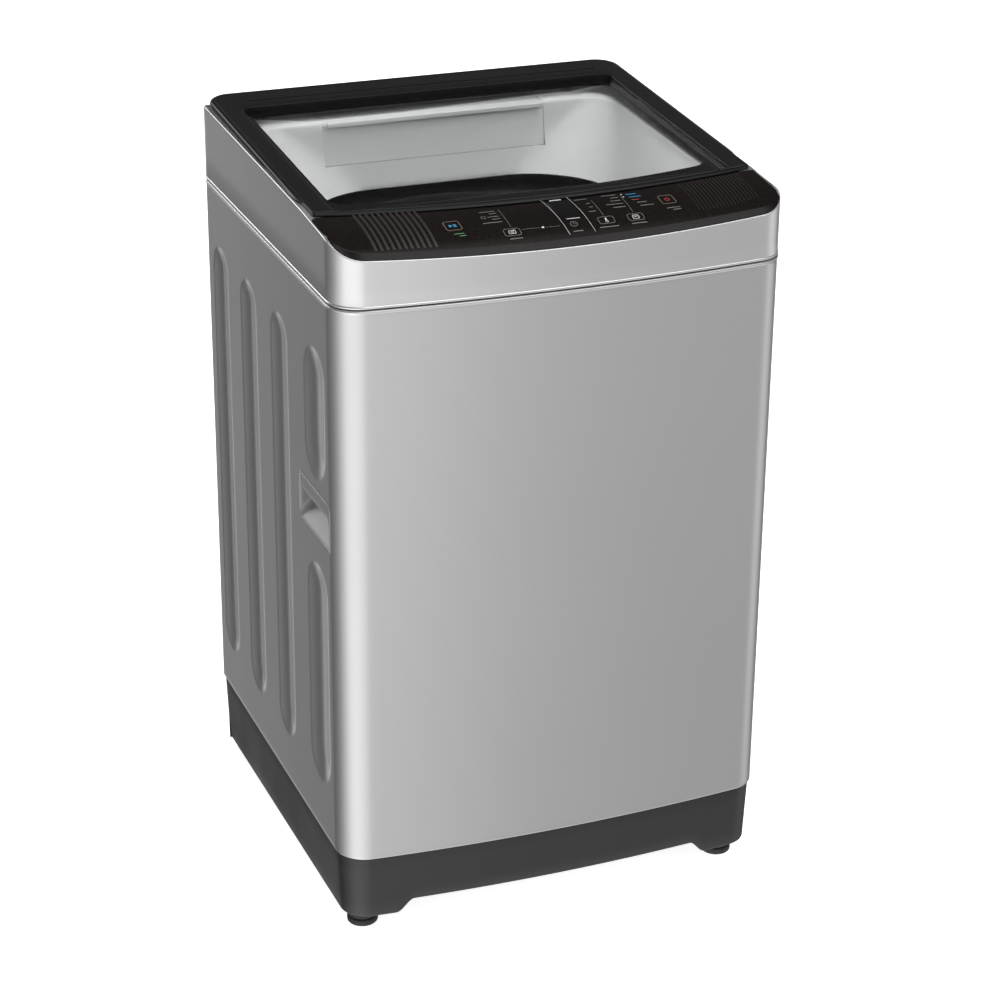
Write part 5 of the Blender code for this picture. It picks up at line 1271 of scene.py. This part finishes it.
# ------------------------------------------------------------------ tub, drum and pulsator
def build_drum():
    bm = bmesh.new()
    lathe(bm, [(0.2010, 0.7735), (0.2020, 0.7750), (0.2060, 0.7762), (0.2140, 0.7765), (0.2320, 0.7752), (0.2480, 0.7765), (0.2520, 0.7755), (0.2530, 0.7738),
               (0.2530, 0.7560), (0.2504, 0.7560), (0.2504, 0.7653), (0.2070, 0.7653), (0.2022, 0.7655), (0.2010, 0.7668)], 128, None, True)
    for i in range(24):
        a = 2 * math.pi * i / 24
        rbox(bm, (0.2090, -0.0007, 0.7755), (0.2460, 0.0007, 0.7765), 0.0003, 1, Matrix.Rotation(a, 4, "Z"))
    make("tub_cover_ring", bm, DARK, "tub", ["tub_cover"])
    bm = bmesh.new()
    prof = [(0.1950, 0.7048), (0.2240, 0.7048), (0.2250, 0.7060), (0.2255, 0.7100), (0.2255, 0.7465), (0.2240, 0.7495), (0.2200, 0.7510), (0.1975, 0.7510), (0.1930, 0.7498),
            (0.1905, 0.7465), (0.1900, 0.7430), (0.1900, 0.7125), (0.1908, 0.7080), (0.1925, 0.7055)]
    lathe(bm, prof, 128, None, True)
    for i in range(48):
        a = 2 * math.pi * (i + 0.5) / 48
        rbox(bm, (0.1945, -0.0045, 0.7500), (0.2180, 0.0045, 0.7522), 0.0010, 1, Matrix.Rotation(a, 4, "Z"))
    make("balance_ring_skin", bm, DARK, "basket", ["balance_ring"])
    # perforated and embossed drum wall
    bm = bmesh.new()
    cols, r = 120, 0.2212
    zs = steps(0.3100, 0.6900, 32)
    grid = [[bm.verts.new((r * math.cos(2 * math.pi * i / cols), r * math.sin(2 * math.pi * i / cols), z)) for i in range(cols)] for z in zs]
    for j in range(len(zs) - 1):
        for i in range(cols):
            k = (i + 1) % cols
            q = (grid[j][i], grid[j][k], grid[j + 1][k], grid[j + 1][i])
            if (i + j) % 2 == 0 and 1 < j < len(zs) - 3:
                a0, a1 = 2 * math.pi * i / cols, 2 * math.pi * (i + 1) / cols
                ac, zc = (a0 + a1) / 2, (zs[j] + zs[j + 1]) / 2
                rim = []
                for s in range(8):
                    t = math.radians(225 + 45 * s)
                    da, dz = 0.0021 * math.cos(t) / r, 0.0021 * math.sin(t)
                    rim.append(bm.verts.new(((r + 0.0011) * math.cos(ac + da), (r + 0.0011) * math.sin(ac + da), zc + dz)))
                mids = [bm.verts.new(((q[s].co + q[(s + 1) % 4].co) / 2)) for s in range(4)]
                for s in range(4):
                    bm.faces.new((q[s], mids[s], rim[2 * s + 1], rim[2 * s]))
                    bm.faces.new((mids[s], q[(s + 1) % 4], rim[(2 * s + 2) % 8], rim[2 * s + 1]))
            else:
                bm.faces.new(q)
    bmesh.ops.remove_doubles(bm, verts=bm.verts, dist=1e-6)
    lathe(bm, [(0.2214, 0.6900), (0.2220, 0.6990), (0.2232, 0.7010), (0.2230, 0.7045), (0.2206, 0.7045), (0.2206, 0.6890)], 120)
    lathe(bm, [(0.2212, 0.3100), (0.2196, 0.3020), (0.2144, 0.2962), (0.2000, 0.2934), (0.1800, 0.2938), (0.1500, 0.2932), (0.0200, 0.2932)], 120)
    for i in range(12):
        a = 2 * math.pi * (i + 0.5) / 12
        rbox(bm, (0.180, -0.0020, 0.2930), (0.2120, 0.0020, 0.2952), 0.0008, 1, Matrix.Rotation(a, 4, "Z"))
    bmesh.ops.remove_doubles(bm, verts=bm.verts, dist=1e-5)
    o = make("drum_wall", bm, STAINLESS, "basket", ["wash_basket"], angle=50)
    s = o.modifiers.new("sheet", "SOLIDIFY")
    s.thickness, s.offset = 0.0006, 0
    settle(o, 50)
    # pulsator
    bm = bmesh.new()
    prof = [(0.0084, 0.3022), (0.0084, 0.3380), (0.0300, 0.3380), (0.0350, 0.3374), (0.0420, 0.3340), (0.0500, 0.3300), (0.0800, 0.3245), (0.1200, 0.3180), (0.1500, 0.3146),
            (0.1620, 0.3130), (0.1690, 0.3108), (0.1720, 0.3078), (0.1716, 0.3030), (0.1690, 0.3022)]
    lathe(bm, prof, 96, None, True)
    for i in range(6):
        a = 2 * math.pi * i / 6
        rows = []
        for k in range(17):
            t = k / 16
            rr = lerp(0.0420, 0.1560, t)
            h = 0.0300 * math.sin(math.pi * min(1.0, 0.28 + 0.72 * (1 - t))) ** 0.6 if t > 0.0 else 0.028
            h = lerp(0.0310, 0.0125, smooth(t * 1.05))
            sweep = 0.012 * math.sin(math.pi * t)
            w = 0.0105 * (1 - 0.25 * t)
            row = []
            for m in range(9):
                u = -1 + 2 * m / 8
                row.append((rr, sweep + w * u, 0.3070 + h * (1 - abs(u) ** 2.4)))
            row.append((rr, sweep + w, 0.3040))
            row.append((rr, sweep - w, 0.3040))
            rows.append([Matrix.Rotation(a, 4, "Z") @ Vector(p) for p in row])
        skin(rows, True, False, bm)
        cap(bm, rows[0])
        cap(bm, rows[-1][::-1])
        # drain slots between the vanes, as moulded rings
        for q in range(3):
            am = Matrix.Rotation(a + math.radians(22 + 8 * q), 4, "Z") @ Matrix.Translation((0.132, 0, 0.3168))
            lathe(bm, [(0.0030, 0.0), (0.0044, 0.0), (0.0044, 0.0010), (0.0030, 0.0010)], 16, am, True)
    make("pulsator_disc", bm, GREY, "agitator", ["pulsator"])
    bm = bmesh.new()
    lathe(bm, [(0.0, 0.3384), (0.0296, 0.3384), (0.0306, 0.3396), (0.0308, 0.3412), (0.0298, 0.3432), (0.0260, 0.3458), (0.0180, 0.3478), (0.0090, 0.3488), (0.0, 0.3490)], 64)
    make("pulsator_centre_cap", bm, GREY, "agitator", ["pulsator_cap"])
    # lint filter: frame with a slotted face
    bm = bmesh.new()
    rbox(bm, (-0.0450, 0.2060, 0.4500), (0.0450, 0.2140, 0.6000), 0.003)
    rbox(bm, (-0.0450, 0.1905, 0.4500), (-0.0390, 0.2100, 0.6000), 0.002)
    rbox(bm, (0.0390, 0.1905, 0.4500), (0.0450, 0.2100, 0.6000), 0.002)
    rbox(bm, (-0.0450, 0.1905, 0.5920), (0.0450, 0.2100, 0.6000), 0.002)
    rbox(bm, (-0.0450, 0.1905, 0.4500), (0.0450, 0.2100, 0.4580), 0.002)
    for i in range(9):
        x = -0.0320 + 0.008 * i
        rbox(bm, (x - 0.0012, 0.1925, 0.4560), (x + 0.0012, 0.1960, 0.5940), 0.0008)
    for z in (0.49, 0.525, 0.56):
        rbox(bm, (-0.0400, 0.1935, z - 0.0015), (0.0400, 0.1965, z + 0.0015), 0.0008)
    make("lint_filter_cage", bm, WHITE, "basket", ["lint_filter"])


# ------------------------------------------------------------------ services: inlet, cord gland and drain
def build_services():
    bm = bmesh.new()
    m = Matrix.Rotation(-math.pi / 2, 4, "X")
    base = Matrix.Translation((0.2090, 0.0, 0.855)) @ m
    prof = [(0.0090, 0.2450), (0.0090, 0.2655), (0.0096, 0.2660), (0.0122, 0.2660)]
    for k in range(8):
        y = 0.2645 - 0.0024 * k
        prof += [(0.0132, y), (0.0132, y - 0.0008), (0.0121, y - 0.0014)]
    prof += [(0.0121, 0.2440), (0.0132, 0.2400), (0.0132, 0.2385), (0.0090, 0.2385)]
    lathe(bm, prof, 48, base, True)
    rbox(bm, (0.1940, 0.2080, 0.8400), (0.2240, 0.2398, 0.8700), 0.002)
    make("inlet_thread", bm, MATS["dark_plastic"], "cabinet", ["inlet_valve"])
    bm = bmesh.new()
    g = Matrix.Translation((0.1665, 0.2366, 0.850)) @ m
    prof = [(0.0036, 0.0), (0.0140, 0.0), (0.0140, 0.0030), (0.0134, 0.0036), (0.0092, 0.0040)]
    for k in range(5):
        z = 0.0052 + 0.0034 * k
        prof += [(0.0084 - 0.0004 * k, z), (0.0084 - 0.0004 * k, z + 0.0018), (0.0070 - 0.0004 * k, z + 0.0022), (0.0070 - 0.0004 * k, z + 0.0030)]
    prof += [(0.0056, 0.0222), (0.0050, 0.0225), (0.0036, 0.0225)]
    lathe(bm, prof, 40, g, True)
    make("cord_strain_relief", bm, RUBBER, "cabinet", ["cord_gland"])
    bm = bmesh.new()
    d = Matrix.Translation((-0.205, 0.2330, 0.175)) @ m
    prof = [(0.0105, 0.0), (0.0135, 0.0), (0.0137, 0.0240), (0.0140, 0.0252), (0.0246, 0.0258), (0.0250, 0.0264), (0.0250, 0.0286), (0.0244, 0.0292), (0.0146, 0.0298),
            (0.0136, 0.0306), (0.0136, 0.0322), (0.0142, 0.0328), (0.0142, 0.0336), (0.0134, 0.0343), (0.0112, 0.0343), (0.0105, 0.0338)]
    lathe(bm, prof, 56, d, True)
    make("drain_spigot", bm, MATS["dark_plastic"], "cabinet", ["drain_outlet"])


# ------------------------------------------------------------------ build everything
build_shell()
build_base()
build_feet()
build_rear()
build_top()
build_handles()
build_collar()
build_dispenser()
build_lid()
build_fascia()
build_prints()
build_keys()
build_drum()
build_services()

# carried-over nodes: smooth shading, rounded edges and their own finish
for name, o in NODES.items():
    if o.hide_render:
        continue
    o.data.materials.clear()
    o.data.materials.append(SLOT_MATS[SLOT_OF[name]])
    o.data.shade_smooth()
    o.data.set_sharp_from_angle(angle=math.radians(35))
    if name in ("control_board", "lid_lock", "drain_valve", "tub_support_plate"):
        b = o.modifiers.new("edges", "BEVEL")
        b.width, b.segments, b.limit_method, b.angle_limit = 0.0006, 2, "ANGLE", math.radians(50)

# suspension springs: each coil is a copy of its node's mesh, left where it stands
for name in sorted(k for k in NODES if k.startswith("suspension_spring_")):
    bm = bmesh.new()
    bm.from_mesh(NODES[name].data)
    o = make("coil" + name[len("suspension_spring"):], bm, SLOT_MATS[SLOT_OF[name]], None, [name], angle=35, recalc=False, doubles=0)
    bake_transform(o)

# ------------------------------------------------------------------ stage, light and camera
scene = bpy.context.scene
scene.view_settings.view_transform = "Standard"
scene.view_settings.look = "None"
scene.view_settings.exposure = 0.0
scene.view_settings.gamma = 1.0

bm = bmesh.new()
bmesh.ops.create_grid(bm, x_segments=8, y_segments=8, size=14.0)
bmesh.ops.translate(bm, vec=(0, 0, -0.0002), verts=bm.verts)
me = bpy.data.meshes.new("floor")
bm.to_mesh(me)
bm.free()
floor = bpy.data.objects.new("floor", me)
scene.collection.objects.link(floor)
floor_mat = surface("floor_white", (0.92, 0.92, 0.92), 0.9, spec=0.0, vary=0.01, fine=3.0, bump=None)
floor_b = floor_mat.node_tree.nodes["Principled BSDF"]
floor_b.inputs["Emission Color"].default_value = (1, 1, 1, 1)
floor_b.inputs["Emission Strength"].default_value = 0.86
me.materials.append(floor_mat)
floor.visible_glossy = False
floor.visible_diffuse = False

world = bpy.data.worlds.new("studio")
scene.world = world
world.use_nodes = True
nt = world.node_tree
bg = nt.nodes["Background"]
out = nt.nodes["World Output"]
tc = nt.nodes.new("ShaderNodeTexCoord")
sep = nt.nodes.new("ShaderNodeSeparateXYZ")
nt.links.new(tc.outputs["Generated"], sep.inputs["Vector"])


def wmath(op, a, b=None, clamp=False):
    n = nt.nodes.new("ShaderNodeMath")
    n.operation = op
    n.use_clamp = clamp
    for s, v in ((n.inputs[0], a), (n.inputs[1], b)):
        if v is None:
            continue
        if hasattr(v, "links"):
            nt.links.new(v, s)
        else:
            s.default_value = v
    return n.outputs[0]


# azimuth 0..1 measured from -Y towards -X
az = wmath("ARCTAN2", wmath("MULTIPLY", sep.outputs["X"], -1.0), wmath("MULTIPLY", sep.outputs["Y"], -1.0))
az = wmath("ADD", wmath("DIVIDE", az, 2 * math.pi), 0.5)
ramp = nt.nodes.new("ShaderNodeValToRGB")
ramp.color_ramp.interpolation = "EASE"
AZ = ((-180, 1.00), (-150, 1.08), (-118, 0.10), (-98, 0.62), (-78, 1.05), (-56, 0.60), (-38, 0.53), (-22, 0.60), (-6, 1.06), (12, 1.52), (40, 1.76), (62, 1.72), (86, 0.95), (106, 0.40), (126, 0.19), (145, 0.12), (160, 0.045), (172, 0.82), (180, 1.00))
els = ramp.color_ramp.elements
while len(els) > 1:
    els.remove(els[-1])
els[0].position = 0.0
els[0].color = (AZ[0][1] / 2,) * 3 + (1,)
for a, v in AZ[1:]:
    e = els.new((a + 180) / 360)
    e.color = (v / 2, v / 2, v / 2, 1)
nt.links.new(az, ramp.inputs["Fac"])
ring_light = wmath("MULTIPLY", ramp.outputs["Color"], 2.0)
# in front the ring grows brighter upwards
el = wmath("ARCSINE", wmath("MINIMUM", wmath("MAXIMUM", sep.outputs["Z"], -1.0), 1.0))
tilt = wmath("MINIMUM", wmath("MAXIMUM", wmath("MULTIPLY", wmath("ADD", el, 0.44), 1.25), -0.30), 0.15)
ahead = nt.nodes.new("ShaderNodeMapRange")
ahead.interpolation_type = "SMOOTHSTEP"
ahead.inputs["From Min"].default_value = 0.540
ahead.inputs["From Max"].default_value = 0.615
ahead.inputs["To Min"].default_value = 1.0
ahead.inputs["To Max"].default_value = 0.0
nt.links.new(az, ahead.inputs["Value"])
ring_light = wmath("MULTIPLY", ring_light, wmath("ADD", wmath("MULTIPLY", tilt, ahead.outputs["Result"]), 1.02))
# above the horizon the ring fades into a soft sky
up = nt.nodes.new("ShaderNodeMapRange")
up.interpolation_type = "SMOOTHSTEP"
up.inputs["From Min"].default_value = 0.03
up.inputs["From Max"].default_value = 0.25
nt.links.new(sep.outputs["Z"], up.inputs["Value"])
zen = nt.nodes.new("ShaderNodeMapRange")
zen.interpolation_type = "SMOOTHSTEP"
zen.inputs["From Min"].default_value = 0.86
zen.inputs["From Max"].default_value = 0.985
zen.inputs["To Min"].default_value = 0.06
zen.inputs["To Max"].default_value = 2.3
nt.links.new(sep.outputs["Z"], zen.inputs["Value"])
mixv = nt.nodes.new("ShaderNodeMix")
mixv.data_type = "FLOAT"
nt.links.new(up.outputs["Result"], mixv.inputs[0])
nt.links.new(ring_light, mixv.inputs[2])
nt.links.new(zen.outputs["Result"], mixv.inputs[3])
# two soft panels that only rounded edges mirror, and a bright floor below


def panel(total, az0, el0, sa, se, value):
    da = wmath("DIVIDE", wmath("SUBTRACT", az, (az0 + 180) / 360), sa / 360)
    de = wmath("DIVIDE", wmath("SUBTRACT", el, math.radians(el0)), math.radians(se))
    g = wmath("POWER", math.e, wmath("MULTIPLY", wmath("ADD", wmath("MULTIPLY", da, da), wmath("MULTIPLY", de, de)), -1.0))
    return wmath("ADD", total, wmath("MULTIPLY", g, value))


light = panel(mixv.outputs[0], 150.0, 17.0, 13.5, 8.5, 6.2)
light = panel(light, -28.0, 47.0, 34.0, 15.0, 4.2)
light = wmath("ADD", light, wmath("MULTIPLY", wmath("LESS_THAN", sep.outputs["Z"], -0.72), 0.9))
lp = nt.nodes.new("ShaderNodeLightPath")
mixc = nt.nodes.new("ShaderNodeMix")
mixc.data_type = "FLOAT"
nt.links.new(lp.outputs["Is Camera Ray"], mixc.inputs[0])
nt.links.new(light, mixc.inputs[2])
mixc.inputs[3].default_value = 1.0
comb = nt.nodes.new("ShaderNodeCombineColor")
for k in range(3):
    nt.links.new(mixc.outputs[0], comb.inputs[k])
nt.links.new(comb.outputs["Color"], bg.inputs["Color"])
bg.inputs["Strength"].default_value = 1.0


def area(name, loc, target, size, size_y, power, spread=180):
    l = bpy.data.lights.new(name, "AREA")
    l.shape = "RECTANGLE"
    l.size, l.size_y = size, size_y
    l.energy = power
    l.spread = math.radians(spread)
    o = bpy.data.objects.new(name, l)
    scene.collection.objects.link(o)
    o.location = loc
    o.rotation_mode = "QUATERNION"
    o.rotation_quaternion = (Vector(target) - Vector(loc)).to_track_quat("-Z", "Y")
    return o


area("overhead_softbox", (0.0, -0.1, 3.2), (0, 0, 0.6), 2.6, 2.2, 42).visible_glossy = False
area("front_left_softbox", (-2.4, -3.0, 2.6), (0, 0, 0.6), 1.6, 1.8, 30).visible_glossy = False

cam = bpy.data.cameras.new("camera")
cam_o = bpy.data.objects.new("camera", cam)
scene.collection.objects.link(cam_o)
cam.sensor_width = 36.0
cam.sensor_fit = "HORIZONTAL"
cam.lens = 98.89
back = Vector((-0.33538, -0.84886, 0.40860)).normalized()
fwd = -back
right = fwd.cross(Vector((0, 0, 1))).normalized()
upv = right.cross(fwd)
rho = math.radians(0.594)
r2 = math.cos(rho) * right + math.sin(rho) * upv
u2 = -math.sin(rho) * right + math.cos(rho) * upv
cam_o.matrix_world = Matrix(((r2.x, u2.x, back.x, -1.13667), (r2.y, u2.y, back.y, -2.92760), (r2.z, u2.z, back.z, 1.84261), (0, 0, 0, 1)))
cam.clip_start, cam.clip_end = 0.05, 60.0
scene.camera = cam_o
